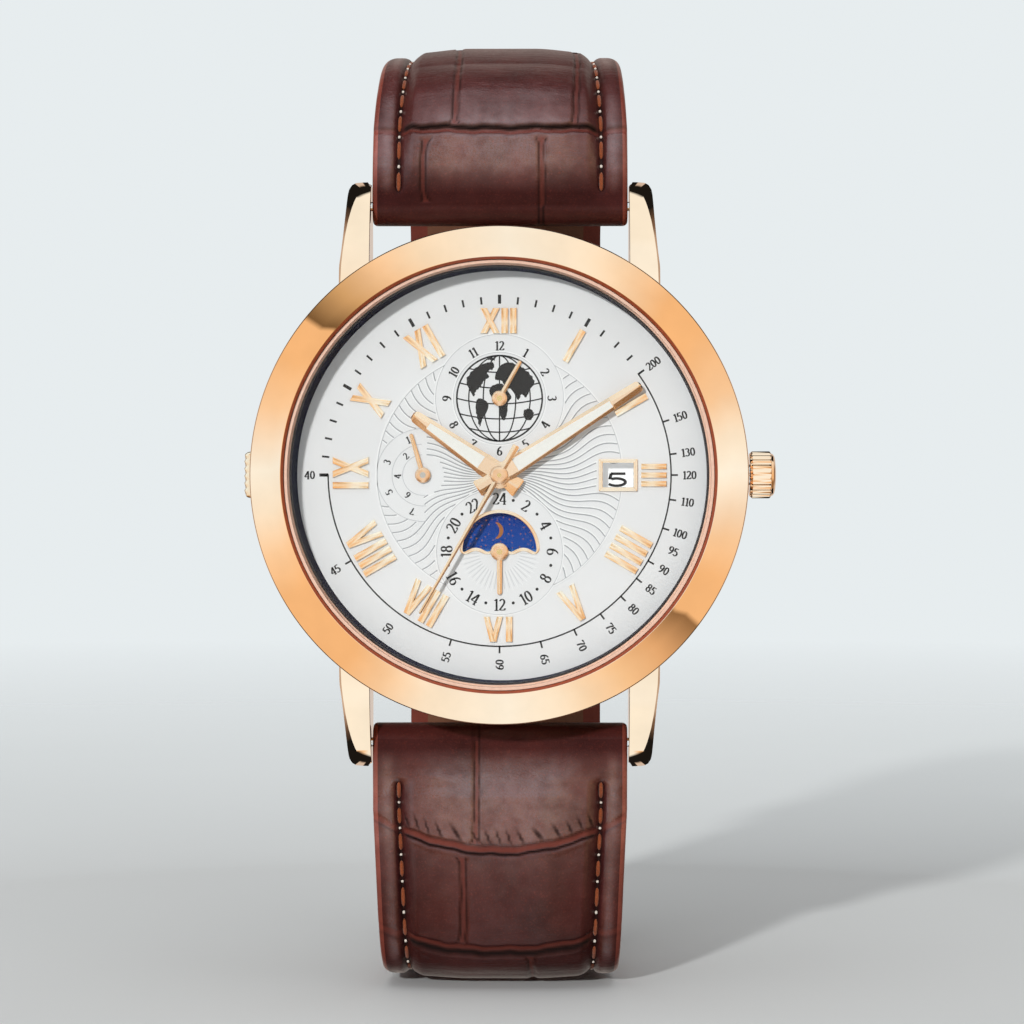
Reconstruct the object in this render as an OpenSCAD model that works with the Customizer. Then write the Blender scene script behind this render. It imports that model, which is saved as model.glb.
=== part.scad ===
// Quartz wristwatch on a buckled leather strap.
// The pieces of the head are drawn lying face up, with 12 o'clock towards +Y and the outer face
// of the case back at height 0. upright() then stands them up, so that the dial faces -Y and
// 12 o'clock points to +Z. The strap and the buckle are drawn in place.

/* [Case] */
// Diameter of the dial plate
dial_d = 35.7; // [35.4:0.1:37]
// Wall of the middle case
case_wall = 2.65; // [2.3:0.05:3]
// How far the bezel stands out over the middle case
bezel_overhang = 0.4; // [0.2:0.1:0.8]
// Height of the bezel ring
bezel_h = 2.6; // [2.2:0.1:3]
// Thickness of the crystal
crystal_t = 1.4; // [1:0.1:1.6]
// How much smaller the crystal's radius is than the dial's
crystal_inset = 0.02; // [0:0.02:0.2]
// Wall of the gasket round the crystal
gasket_wall = 0.25; // [0.2:0.05:0.4]
// Thickness of the case back's rim
back_rim_t = 0.8; // [0.6:0.1:1.2]
// Thickness of the case back's inner boss
back_boss_t = 0.4; // [0.3:0.1:0.8]
// Room between the dial and the crystal for the hands
hand_room = 1.9; // [1.8:0.1:2.6]
// Visible width of the inner flange ring
flange_w = 0.36; // [0.3:0.02:0.6]

/* [Lugs] */
// How far the lugs reach beyond the middle case
lug_reach = 4.5; // [4.4:0.1:6]
// Gap between the two lugs of a pair, which is the strap's width
lug_gap = 22; // [21:0.5:23]
// Width of a lug at its tip
lug_tip_w = 2.1; // [1.9:0.1:2.6]
// Width of a lug where it leaves the case
lug_root_w = 2.6; // [2.4:0.1:3]
// Distance of the spring bars from the middle case
bar_gap = 2.4; // [2.2:0.1:2.8]
// Height of the spring bars above the back
bar_height = 2.6; // [2.4:0.1:3]
// Diameter of a spring bar's body
bar_d = 1.5; // [1.3:0.1:1.8]
// Diameter of a spring bar's end pin
bar_pin_d = 0.8; // [0.7:0.05:0.9]
// Length of a spring bar's end pin beyond the lug's inner face
bar_pin_l = 1.2; // [1:0.1:1.4]

/* [Crown and push-piece] */
// Diameter of the crown over its flutes
crown_d = 4.1; // [3.8:0.1:4.6]
// Length of the crown
crown_l = 2.3; // [2:0.1:2.8]
// Gap between the bezel's edge and the crown
crown_gap = 0.25; // [0.2:0.05:0.5]
// Number of flutes on the crown
crown_flutes = 24; // [20:2:30]
// How far the crown pulls out to set the hands
crown_pull = 1.2; // [1:0.1:1.3]
// Diameter of the stem
stem_d = 1; // [0.9:0.05:1.1]
// Height of the stem above the back
stem_height = 4.2; // [4.15:0.05:4.3]
// Length of the push-piece's cap along the case
pusher_l = 4; // [3.4:0.2:5]
// Thickness of the push-piece's cap from back to front
pusher_t = 1.8; // [1.6:0.1:2.4]
// How far the push-piece stands out beyond the bezel
pusher_out = 0.8; // [0.7:0.1:1.2]
// Travel of the push-piece
pusher_travel = 0.5; // [0.4:0.05:0.6]

/* [Dial] */
// Thickness of the dial plate
dial_t = 0.4; // [0.3:0.05:0.5]
// Distance of each sub-dial's centre from the middle of the dial
sub_offset = 6.5; // [6.4:0.05:6.6]
// Inner radius of the applied hour numerals
numeral_r = 12; // [11.9:0.1:12.4]
// Height of an applied hour numeral along the radius
numeral_h = 2.15; // [1.9:0.05:2.3]
// Width of one bar of a numeral
numeral_bar = 0.5; // [0.4:0.05:0.6]
// Height of the applied pieces above the dial
applied_t = 0.25; // [0.2:0.05:0.3]
// Width of the date window
window_w = 2.6; // [2.4:0.1:2.8]
// Height of the date window
window_h = 2.05; // [1.8:0.05:2.2]
// Gap between the date window's frame and the numeral beside it
window_gap = 0.3; // [0.1:0.05:0.5]
// Width of the frame round the date window
window_frame = 0.35; // [0.25:0.05:0.45]
// Radius of the day-night aperture
aperture_r = 3.2; // [3:0.05:3.3]
// Width of the raised frame of the day-night aperture
aperture_frame_w = 0.33; // [0.25:0.02:0.4]

/* [Hands] */
// Length of the hour hand
hour_hand_l = 9.1; // [8.4:0.1:9.6]
// Length of the minute hand
minute_hand_l = 14.2; // [13:0.1:14.8]
// Length of the centre seconds hand
seconds_hand_l = 13.5; // [12.5:0.1:14.5]
// Length of the seconds hand's tail
seconds_tail_l = 2.9; // [2.4:0.1:3.4]
// Length of the hands on the sub-dials
sub_hand_l = 3.65; // [3.2:0.05:3.8]
// Thickness of the hands
hand_t = 0.2; // [0.15:0.01:0.22]
// Direction of the hour hand, clockwise from 12
hour_angle = 304.8; // [0:0.1:360]
// Direction of the minute hand
minute_angle = 57.5; // [0:0.1:360]
// Direction of the seconds hand
seconds_angle = 210; // [0:1:360]
// Direction of the hand on the sub-dial at 12
month_angle = 29.3; // [0:0.1:360]
// Direction of the hand on the sub-dial at 9
weekday_angle = 343.7; // [0:0.1:360]
// Direction of the 24-hour hand
day_angle = 180; // [0:1:360]

/* [Movement] */
// Diameter of the movement
movement_d = 26; // [26:0.1:27]
// Height of the movement, from the case back to the dial
movement_h = 5; // [5:0.05:5.2]
// Diameter of the battery
battery_d = 6.8; // [6.2:0.1:7]
// Thickness of the battery
battery_h = 2; // [1.6:0.05:2.05]
// Length of the motor's coil
coil_l = 8; // [7:0.2:8.6]
// Diameter of the motor's coil
coil_d = 1.4; // [1.2:0.05:1.45]

/* [Strap] */
// How far the strap rises above the upper spring bar
loop_rise = 14.9; // [14:0.1:17]
// How far the strap drops below the lower spring bar
loop_drop = 21.2; // [20.5:0.1:24]
// Distance from the case back to the strap's lining at the back of the loop
loop_depth = 30; // [29:0.5:34]
// Width of the strap at the buckle
strap_end_w = 18; // [16:0.5:18.5]
// Thickness of the padded strap near the lugs
strap_pad_t = 4.4; // [4:0.1:4.8]
// Thickness of the strap in the loop
strap_t = 2.7; // [2.5:0.1:2.9]
// Thickness of the tail that passes through the keepers
tail_t = 2.2; // [2:0.1:2.3]
// Height of the tail's tip above the middle of the watch
tail_top = 25; // [24:0.5:26]
// Height of the buckle's hinge above the middle of the watch
buckle_height = 2; // [1:0.5:3]

/* [Buckle] */
// Diameter of the bar that the buckle hinges on
buckle_bar_d = 1.4; // [1.2:0.1:1.6]
// Distance from the hinge to the buckle's outer bar along the strap
buckle_reach = 8; // [8:0.2:9]
// Diameter of the buckle's outer bar
outer_bar_d = 2; // [1.8:0.1:2.2]
// Thickness of the buckle's side arms
arm_w = 1.6; // [1.4:0.1:2]
// Width of the tongue
tongue_w = 1.3; // [1.1:0.1:1.4]
// Thickness of the tongue
tongue_t = 0.9; // [0.8:0.05:1]
// Thickness of a keeper's leather
keeper_t = 1; // [0.8:0.1:1.2]
// Width of the keepers along the strap
keeper_w = 4; // [3.5:0.1:4.5]
// How far the free keeper slides up the strap
keeper_slide = 4; // [3:0.5:4.5]

/* [Hidden] */
$fn = 64;

// Clearances
fit = 0.02;
run = 0.05;
loose = 0.1;
soft = 0.35;
eps = 0.01;

// Heights of the stack, from the case back up
back_z = back_rim_t + back_boss_t;
move_z = back_z + loose;
dial_back_z = back_z + movement_h;
dial_z = dial_back_z + dial_t;
gasket_foot = 0.2;
crystal_z = dial_z + hand_room;
bezel_top = crystal_z + crystal_t + loose;
case_top = bezel_top - bezel_h;

// Radii of the case
dial_r = dial_d / 2;
case_bore_r = dial_r + loose;
case_r = case_bore_r + case_wall;
bezel_r = case_r + bezel_overhang;
crystal_r = dial_r - crystal_inset;
bezel_bore_r = crystal_r + gasket_wall + fit;
back_rim_r = case_r - 1.6;
lug_tip = case_r + lug_reach;
bar_offset = case_r + bar_gap;
window_r = numeral_r - window_gap - window_frame - window_w / 2;
case_bevel = 0.3;

// Movement: layers between the bridge and the dial
move_r = movement_d / 2;
bridge_t = 0.6;
bridge_top_z = move_z + 0.1 + bridge_t;
plate_z = bridge_top_z + 1.6;
plate_t = 1.3;
plate_top_z = plate_z + plate_t;
wheel_t = 0.2;
arbor_r = 0.2;
pivot_bore_r = arbor_r + run;
post_r = 0.7;
bridge_posts = [[6.2, 4.2], [-1, 7.2], [1.4, -6.6]];
screw_r = 0.5;

// Teeth: module and number of teeth of each pair that meshes
rotor_mod = 0.1;
rotor_leaves = 8;
fifth_teeth = 48;
fifth_mod = 0.13;
fifth_leaves = 8;
fourth_teeth = 40;
fourth_mod = 0.09;
fourth_leaves = 8;
third_teeth = 60;
third_leaves = 10;
centre_teeth = 80;
cannon_mod = 0.1;
cannon_leaves = 12;
minute_teeth = 36;
minute_leaves = 10;
hour_teeth = 40;
setting_teeth = 24;
day_mod = sub_offset / 65;
hour_day_teeth = 30;
idler_teeth = 20;
day_teeth = 60;

// Distances between arbors and where the arbors stand
fifth_dist = fifth_mod * (fifth_leaves + fourth_teeth) / 2;
rotor_dist = fifth_dist + rotor_mod * (rotor_leaves + fifth_teeth) / 2;
third_dist = fourth_mod * (fourth_leaves + third_teeth) / 2;
centre_mod = 2 * third_dist / (third_leaves + centre_teeth);
minute_dist = cannon_mod * (cannon_leaves + minute_teeth) / 2;
hour_mod = 2 * minute_dist / (minute_leaves + hour_teeth);
setting_dist = minute_dist + cannon_mod * (minute_teeth + setting_teeth) / 2;
idler_dist = day_mod * (hour_day_teeth + idler_teeth) / 2;
motor_dir = 150;
third_dir = motor_dir - 180;
coil_dist = rotor_dist + 3.7;
magnet_r = 0.65;

// Phases that put each pair in mesh at rest
fourth_phase = 0;
fifth_leaf_phase = mesh_phase(fourth_phase, fourth_teeth, fifth_leaves, motor_dir);
fifth_phase = 0;
rotor_phase = mesh_phase(fifth_phase, fifth_teeth, rotor_leaves, motor_dir);
third_phase = mesh_phase(fourth_phase, fourth_leaves, third_teeth, third_dir);
third_leaf_phase = mesh_phase(0, centre_teeth, third_leaves, third_dir);
minute_phase = mesh_phase(0, cannon_leaves, minute_teeth, 0);
minute_leaf_phase = mesh_phase(0, hour_teeth, minute_leaves, 0);
setting_phase = mesh_phase(minute_phase, minute_teeth, setting_teeth, 0);
idler_phase = mesh_phase(0, hour_day_teeth, idler_teeth, 270);
day_phase = mesh_phase(idler_phase, idler_teeth, day_teeth, 270);

// Heights of the wheels behind the main plate
fourth_z = bridge_top_z + 0.15;
fifth_z = fourth_z + 0.4;
third_z = fourth_z + 0.35;
centre_z = fourth_z + 0.8;
stator_z = fourth_z + 0.8;
stator_t = 0.4;

// Heights of the wheels between the main plate and the dial
cannon_z = plate_top_z + 0.05;
minute_z = cannon_z + 0.05;
hour_z = minute_z + 0.3;
day_z = hour_z + 0.25;
date_z = hour_z;
date_t = 0.15;

// Tubes of the centre
centre_tube_r = 0.5;
centre_bore_r = arbor_r + run;
hour_bore_r = centre_tube_r + run;
hour_tube_r = hour_bore_r + 0.3;

// Heights of the hands
sub_hand_z = dial_z + 0.2;
hour_hand_z = dial_z + 0.5;
minute_hand_z = hour_hand_z + 0.4;
seconds_hand_z = minute_hand_z + 0.4;
sub_hub_r = 0.68;
sub_arbor_r = 0.25;
// The 24-hour hand passes over the raised frame of its own sub-dial
aperture_rise = sub_hand_z - dial_z - 0.08;

// Keyless works
pilot_r = 0.3;
square_a = 0.62;
crown_x = bezel_r + crown_gap;
groove_x = move_r - 1.9;
pinion_x = groove_x - 1.6;
pinion_l = 1.1;
groove_w = 0.6;
lever_pin_r = 0.2;
lever_pin_x = groove_x + groove_w / 2;
lever_pivot = [lever_pin_x + crown_pull / 2, 2.6];
tube_r = 0.9;
tube_bore_r = stem_d / 2 + loose;
crown_recess_r = tube_r + 0.3;
tube_end_x = crown_x + 0.95;

// Push-piece
pusher_stem_r = 0.6;
pusher_collar_r = 0.9;
pusher_collar_l = 0.3;
pusher_pin_r = 0.35;
pusher_pin_l = 2.6;
pusher_x = -(bezel_r + pusher_out);
pusher_cap_x = -(case_r + pusher_travel + loose);

// Strap and buckle
bar_y = -bar_height;
lug_x = lug_gap / 2;
strap_w = lug_gap - 2 * 0.1;
tube_end_r = 1.7;
lining_y = bar_y + 1.4;
strap_len_wide = 6;
strap_len_taper = 45;
hinge_y = loop_depth + strap_t / 2;
tail_y = loop_depth + strap_t + soft + 0.1;
tail_in_y = loop_depth + 0.4;
outer_bar_y = tail_in_y + tail_t + 0.4 + outer_bar_d / 2;
outer_bar_z = buckle_height - buckle_reach;
buckle_gap = strap_end_w + 0.8;
hinge_tube_r = strap_t / 2;
tongue_slot_w = tongue_w + 1;
keeper_from_hinge = 6;
keeper_gap = 2;
fixed_keeper_z = buckle_height + keeper_from_hinge;
free_keeper_z = fixed_keeper_z + keeper_w + keeper_gap;

// Point at distance r and direction a, anticlockwise from 3 o'clock
function polar(r, a) = [r * cos(a), r * sin(a)];

// Phase of a wheel that meshes with one of the given phase and teeth, in the direction dir
function mesh_phase(phase, teeth, other_teeth, dir) =
    dir + 180 + 180 / other_teeth - (phase - dir) * teeth / other_teeth;

// Outline of a toothed wheel
function tooth_points(teeth, mod, phase, root = 1.15, tip = 0.8) =
    [for (i = [0 : teeth - 1]) for (corner = [[-0.28, -root], [-0.12, tip], [0.12, tip], [0.28, -root]])
        polar(mod * (teeth / 2 + corner[1]), phase + (i + corner[0]) * 360 / teeth)];

// Arc of points round a centre
function arc(centre, r, from, to, steps = 8) =
    [for (i = [0 : steps]) centre + polar(r, from + (to - from) * i / steps)];

// Smooth curve through a list of points, each span cut into steps
function spline(p, steps) = [for (i = [0 : len(p) - 2]) for (k = [0 : steps - 1])
    spline_point(p[max(i - 1, 0)], p[i], p[i + 1], p[min(i + 2, len(p) - 1)], k / steps),
    p[len(p) - 1]];
function spline_point(a, b, c, d, t) =
    0.5 * (2 * b + (c - a) * t + (2 * a - 5 * b + 4 * c - d) * t * t
        + (3 * b - a - 3 * c + d) * t * t * t);

// Length of a route up to each of its points
function lengths(p, i = 0, sum = 0) = i >= len(p) ? [] :
    let (next = i == 0 ? 0 : sum + norm(p[i] - p[i - 1])) concat([next], lengths(p, i + 1, next));

// Stands the head up
module upright() {
    rotate([90, 0, 0]) children();
}

module ring(outer_r, inner_r, z, h) {
    translate([0, 0, z]) difference() {
        cylinder(r = outer_r, h = h);
        translate([0, 0, -eps]) cylinder(r = inner_r, h = h + 2 * eps);
    }
}

module disc(r, z, h, at = [0, 0]) {
    translate([at[0], at[1], z]) cylinder(r = r, h = h);
}

module toothed(teeth, mod, z, h, phase = 0) {
    translate([0, 0, z]) linear_extrude(h) polygon(tooth_points(teeth, mod, phase));
}

module along_x(r, from, to, z) {
    translate([from, 0, z]) rotate([0, 90, 0]) cylinder(r = r, h = to - from);
}

// Case

module lug() {
    root_y = 13;
    tip_y = lug_tip;
    tip_z = 1.9;
    side = concat([for (a = [0 : 7.5 : 90])
            [root_y + (tip_y - root_y) * sin(a), tip_z + (case_top - 0.1 - tip_z) * cos(a)]],
        [[tip_y - 0.1, 1.1], [tip_y - 0.6, 0.7], [bar_offset - 2.5, back_rim_t + 0.2], [root_y,
            back_rim_t + 0.2]]);
    plan = [[lug_x, root_y], [lug_x + lug_root_w + 0.2, root_y], [lug_x + lug_root_w, case_r * 0.8],
        [lug_x + lug_tip_w, tip_y - 0.5], [lug_x + lug_tip_w - 0.4, tip_y + eps], [lug_x + 0.2, tip_y + eps],
        [lug_x, tip_y - 0.3]];
    intersection() {
        translate([lug_x - 1, 0, 0]) rotate([90, 0, 90]) linear_extrude(lug_root_w + 2) polygon(side);
        linear_extrude(case_top) polygon(plan);
    }
}

module mid_case() {
    color("burlywood") upright() difference() {
        union() {
            rotate_extrude() polygon([[case_bore_r, back_rim_t], [case_r - 0.8, back_rim_t],
                [case_r - case_bevel, back_rim_t + 0.4], [case_r, back_rim_t + 1.2],
                [case_r, case_top - case_bevel], [case_r - case_bevel, case_top], [case_bore_r, case_top]]);
            for (sx = [0, 1]) for (sy = [0, 1]) mirror([sx, 0, 0]) mirror([0, sy, 0]) lug();
        }
        disc(case_bore_r, -eps, bezel_top);
        along_x(tube_r + fit, case_bore_r - 1, case_r + 2, stem_height);
        along_x(pusher_stem_r + run, -case_r - 2, -case_bore_r + 1, stem_height);
        for (side = [-1, 1]) translate([0, side * bar_offset, 0])
            along_x(bar_pin_d / 2 + run, -lug_x - bar_pin_l - 0.2, lug_x + bar_pin_l + 0.2, bar_height);
    }
}

module bezel() {
    shoulder = 0.9;
    color("peachpuff") upright() rotate_extrude() polygon(concat(
        [[bezel_bore_r, case_top], [bezel_r - 0.2, case_top], [bezel_r, case_top + 0.2]],
        arc([bezel_r - shoulder, bezel_top - shoulder], shoulder, 0, 82, 8),
        [[bezel_bore_r + 0.35, bezel_top], [bezel_bore_r, bezel_top - 0.3]]));
}

module crystal() {
    color("lightcyan", 0.35) upright() difference() {
        disc(crystal_r, crystal_z, crystal_t);
        translate([0, 0, crystal_z + crystal_t]) rotate_extrude()
            polygon([[crystal_r - 0.15, eps], [crystal_r + 1, eps], [crystal_r + 1, -1.15]]);
    }
}

module crystal_gasket() {
    color("ivory") upright() {
        rotate_extrude() polygon([[crystal_r - 0.3, crystal_z - gasket_foot],
            [bezel_bore_r - fit, crystal_z - gasket_foot], [bezel_bore_r - fit, bezel_top - 0.4],
            [crystal_r + fit / 2, bezel_top - 0.4], [crystal_r + fit / 2, crystal_z - fit],
            [crystal_r - 0.3, crystal_z - fit]]);
    }
}

module flange_ring() {
    top_z = crystal_z - gasket_foot;
    color("midnightblue") upright() rotate_extrude() polygon([[dial_r - flange_w, dial_z],
        [dial_r, dial_z], [dial_r, top_z], [dial_r - flange_w * 0.6, top_z]]);
}

module case_back() {
    notches = 6;
    color("silver") upright() difference() {
        union() {
            rotate_extrude() polygon([[0, 0], [back_rim_r - 0.4, 0], [back_rim_r, 0.3],
                [back_rim_r, back_rim_t], [0, back_rim_t]]);
            disc(case_bore_r - run, back_rim_t - eps, back_boss_t + eps);
        }
        ring(back_rim_r - 0.2, case_bore_r + 0.15, back_rim_t - 0.3, 1);
        for (i = [0 : notches - 1]) rotate(i * 360 / notches)
            translate([back_rim_r - 1.3, -0.9, -eps]) cube([3, 1.8, 0.4]);
    }
}

module case_back_gasket() {
    color("dimgray") upright()
        ring(back_rim_r - 0.2 - run, case_bore_r + 0.15 + run, back_rim_t - 0.3, 0.3);
}

module crown_tube() {
    color("silver") upright() difference() {
        along_x(tube_r, case_bore_r + 0.05, tube_end_x, stem_height);
        along_x(tube_bore_r, 0, tube_end_x + 1, stem_height);
    }
}

module crown() {
    dome_r = crown_d / 2 - 0.3;
    grip_l = crown_l * 0.72;
    color("sandybrown") upright() translate([crown_x, 0, stem_height]) rotate([0, 90, 0]) difference() {
        union() {
            intersection() {
                linear_extrude(grip_l)
                    polygon(tooth_points(crown_flutes, crown_d / crown_flutes * 0.95, 0, 0.6, 0.6));
                rotate_extrude() polygon([[0, 0], [crown_d / 2 - 0.25, 0], [crown_d / 2 + 0.1, 0.35],
                    [crown_d / 2 + 0.1, grip_l - 0.35], [crown_d / 2 - 0.25, grip_l], [0, grip_l]]);
            }
            rotate_extrude() polygon([[0, grip_l - eps], [dome_r, grip_l - eps], [dome_r, grip_l + 0.15],
                [dome_r * 0.75, crown_l - 0.12], [dome_r * 0.4, crown_l], [0, crown_l]]);
        }
        translate([0, 0, -eps]) cylinder(r = crown_recess_r, h = grip_l - 0.3);
        cylinder(r = stem_d / 2 + fit, h = crown_l - 0.4);
    }
}

module crown_gasket() {
    color("black") upright() translate([crown_x + 0.25, 0, stem_height]) rotate([0, 90, 0])
        ring(crown_recess_r - fit, tube_r + fit, 0, 0.35);
}

module stem() {
    square_from = 8.2;
    square_to = groove_x - 0.2;
    color("silver") upright() {
        along_x(pilot_r, 6.3, square_from + eps, stem_height);
        translate([square_from, -square_a / 2, stem_height - square_a / 2])
            cube([square_to - square_from, square_a, square_a]);
        along_x(stem_d / 2, square_to, groove_x, stem_height);
        along_x(pilot_r, groove_x - eps, groove_x + groove_w + eps, stem_height);
        along_x(stem_d / 2, groove_x + groove_w, crown_x + crown_l - 0.5, stem_height);
    }
}

module sliding_pinion() {
    leaves = 12;
    hole = square_a + 2 * run;
    color("goldenrod") upright() translate([pinion_x, 0, stem_height]) rotate([0, 90, 0]) difference() {
        linear_extrude(pinion_l) polygon(tooth_points(leaves, 0.115, 0));
        translate([-hole / 2, -hole / 2, -eps]) cube([hole, hole, pinion_l + 1]);
    }
}

module setting_lever() {
    lever_z = plate_z - 0.4;
    lever_t = 0.3;
    color("lightsteelblue") upright() {
        linear_extrude_at(lever_z, lever_t) hull() {
            translate([lever_pin_x, 0]) circle(r = 0.35, $fn = 32);
            translate(lever_pivot) circle(r = 0.6, $fn = 32);
        }
        disc(lever_pin_r, lever_z + eps, stem_height - pilot_r - 0.04 - lever_z, [lever_pin_x, 0]);
        disc(0.3, lever_z - 0.2, plate_top_z - lever_z, lever_pivot);
    }
}

module linear_extrude_at(z, h) {
    translate([0, 0, z]) linear_extrude(h) children();
}

// Movement

module movement_holder() {
    color("whitesmoke") upright() difference() {
        ring(dial_r, move_r + loose, move_z, dial_back_z - move_z);
        translate([move_r - 1, -0.8, stem_height - 0.8]) cube([dial_r, 1.6, 1.6]);
        translate([-dial_r - 1, -1, stem_height - 1]) cube([dial_r - move_r + 2, 2, 2]);
    }
}

module main_plate() {
    color("khaki") upright() difference() {
        union() {
            disc(move_r, plate_z, plate_t);
            for (post = bridge_posts) disc(post_r, bridge_top_z, plate_z - bridge_top_z + eps, post);
        }
        disc(centre_tube_r + run, 0, bezel_top);
        for (dist = [fifth_dist, rotor_dist]) disc(pivot_bore_r, plate_z - eps, 0.6, polar(dist, motor_dir));
        disc(pivot_bore_r, plate_z - eps, 0.6, polar(third_dist, third_dir));
        for (at = [[minute_dist, 0], [setting_dist, 0], [0, -idler_dist]])
            disc(pivot_bore_r, plate_top_z - 0.6, 1, at);
        for (at = [[0, -sub_offset], [-sub_offset, 0], [0, sub_offset]])
            disc(sub_arbor_r + run, plate_top_z - 0.8, 2, at);
        disc(0.3 + run, plate_z - eps, plate_t + 1, lever_pivot);
        for (post = bridge_posts) disc(screw_r, 0, plate_z + 0.2, post);
        along_x(pilot_r + run, 6, 9, stem_height);
        translate([8.1, -1.1, plate_z - 1]) cube([groove_x + groove_w + crown_pull + 0.1 - 8.1, 2.2, 4]);
        along_x(stem_d / 2 + run, 10, move_r + 1, stem_height);
    }
}

module train_bridge() {
    color("gold") upright() difference() {
        linear_extrude_at(bridge_top_z - bridge_t, bridge_t) hull() {
            for (post = bridge_posts) translate(post) circle(r = 1.3, $fn = 32);
            translate(polar(rotor_dist, motor_dir)) circle(r = 1, $fn = 32);
        }
        disc(pivot_bore_r, 0, bezel_top);
        for (dist = [fifth_dist, rotor_dist]) disc(pivot_bore_r, 0, bezel_top, polar(dist, motor_dir));
        disc(pivot_bore_r, 0, bezel_top, polar(third_dist, third_dir));
        for (post = bridge_posts) disc(screw_r + run, 0, bezel_top, post);
    }
}

module movement_screws() {
    color("steelblue") upright() for (post = bridge_posts) difference() {
        disc(screw_r - fit, bridge_top_z - bridge_t, plate_z + 0.1 - bridge_top_z + bridge_t, post);
        translate([post[0] - 1, post[1] - 0.1, bridge_top_z - bridge_t - eps]) cube([2, 0.2, 0.2]);
    }
}

// The battery lies against the movement's rim, and its clamp turns away from the train bridge
battery_wall = 0.5;
battery_at = polar(move_r - battery_wall - battery_d / 2, 231);
clamp_dir = -30;
clamp_l = battery_d / 2 + 0.9;

module battery() {
    color("gainsboro") upright() translate([battery_at[0], battery_at[1], plate_z - battery_h]) {
        cylinder(r = battery_d / 2, h = battery_h);
    }
}

module battery_clamp() {
    clamp_z = plate_z - battery_h - 0.2;
    color("lightsteelblue") upright() translate([battery_at[0], battery_at[1], 0]) rotate(clamp_dir) {
        linear_extrude_at(clamp_z, 0.18) hull() {
            circle(r = 1, $fn = 32);
            translate([clamp_l, 0]) circle(r = 0.7, $fn = 32);
        }
        disc(0.5, clamp_z, plate_z - clamp_z, [clamp_l, 0]);
    }
}

module circuit_board() {
    board_t = 0.3;
    board_z = plate_z - board_t;
    board_far = move_r + 1;
    chip_w = 2.4;
    chip_t = 0.6;
    color("seagreen") upright() {
        linear_extrude_at(board_z, board_t) difference() {
            intersection() {
                circle(r = move_r - 0.4);
                polygon([[3.2, -4.2], [7, -1.6], [board_far, -1.6], [board_far, -board_far],
                    [0, -board_far], [3, -9]]);
            }
            translate(bridge_posts[2]) circle(r = post_r + 0.2);
        }
        translate([6.2, -7.6, board_z - chip_t]) cube([chip_w, chip_w, chip_t + eps]);
    }
}

module quartz_can() {
    color("silver") upright() translate([5.4, 8.4, plate_z - 0.75 - 0.05]) rotate([0, 0, -35]) {
        rotate([0, 90, 0]) translate([0, 0, -3]) cylinder(r = 0.75, h = 6);
        for (side = [-1, 1]) translate([-4, side * 0.3 - 0.1, -0.1]) cube([1 + eps, 0.2, 0.2]);
    }
}

module coil() {
    core_t = 0.3;
    core_z = stator_z - core_t;
    core_foot = 1.6;
    color("chocolate") upright() rotate(motor_dir) {
        translate([coil_dist, coil_l / 2, core_z + core_t / 2]) rotate([90, 0, 0])
            cylinder(r = coil_d / 2, h = coil_l);
        translate([coil_dist - 0.4, -coil_l / 2 - core_foot, core_z])
            cube([0.8, coil_l + 2 * core_foot, core_t]);
    }
}

module stator() {
    leg_y = coil_l / 2 + 0.3;
    color("slategray") upright() rotate(motor_dir) linear_extrude_at(stator_z, stator_t) difference() {
        for (side = [0, 1]) mirror([0, side, 0])
            polygon([[rotor_dist - 1.3, -0.1], [rotor_dist + 1, -0.1], [rotor_dist + 1, 1.6],
                [coil_dist - 0.5, leg_y], [coil_dist + 0.5, leg_y], [coil_dist + 0.5, leg_y + 1.2],
                [coil_dist - 0.9, leg_y + 1.2], [rotor_dist - 1.3, 2.6]]);
        translate([rotor_dist, 0]) circle(r = magnet_r + 0.2);
    }
}

module arbor(from, to, r = arbor_r) {
    disc(r, from, to - from);
}

module rotor() {
    color("dimgray") upright() translate(concat(polar(rotor_dist, motor_dir), [0])) {
        arbor(bridge_top_z - 0.4, plate_z + 0.4);
        toothed(rotor_leaves, rotor_mod, fifth_z - 0.1, 0.35, rotor_phase);
        disc(magnet_r, stator_z, stator_t);
    }
}

module fifth_wheel() {
    color("goldenrod") upright() translate(concat(polar(fifth_dist, motor_dir), [0])) {
        arbor(bridge_top_z - 0.4, plate_z + 0.4);
        toothed(fifth_leaves, fifth_mod, fourth_z - 0.08, fifth_z - fourth_z + 0.08 + eps, fifth_leaf_phase);
        toothed(fifth_teeth, rotor_mod, fifth_z, wheel_t, fifth_phase);
    }
}

module fourth_wheel() {
    color("gold") upright() {
        arbor(bridge_top_z - 0.4, seconds_hand_z + hand_t);
        toothed(fourth_teeth, fifth_mod, fourth_z, wheel_t, fourth_phase);
        toothed(fourth_leaves, fourth_mod, fourth_z, centre_z - fourth_z - 0.08, fourth_phase);
    }
}

module third_wheel() {
    color("goldenrod") upright() translate(concat(polar(third_dist, third_dir), [0])) {
        arbor(bridge_top_z - 0.4, plate_z + 0.4);
        toothed(third_teeth, fourth_mod, third_z, wheel_t, third_phase);
        toothed(third_leaves, centre_mod, third_z + wheel_t - eps,
            centre_z + wheel_t + 0.05 - third_z - wheel_t,
            third_leaf_phase);
    }
}

module centre_wheel() {
    color("gold") upright() difference() {
        union() {
            toothed(centre_teeth, centre_mod, centre_z, wheel_t);
            disc(centre_tube_r, centre_z, cannon_z - centre_z);
        }
        disc(centre_bore_r, 0, bezel_top);
    }
}

module cannon_pinion() {
    color("darkgoldenrod") upright() difference() {
        union() {
            toothed(cannon_leaves, cannon_mod, cannon_z, 0.3);
            disc(centre_tube_r, cannon_z, minute_hand_z + hand_t - cannon_z);
        }
        disc(centre_bore_r, 0, bezel_top);
    }
}

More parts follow.
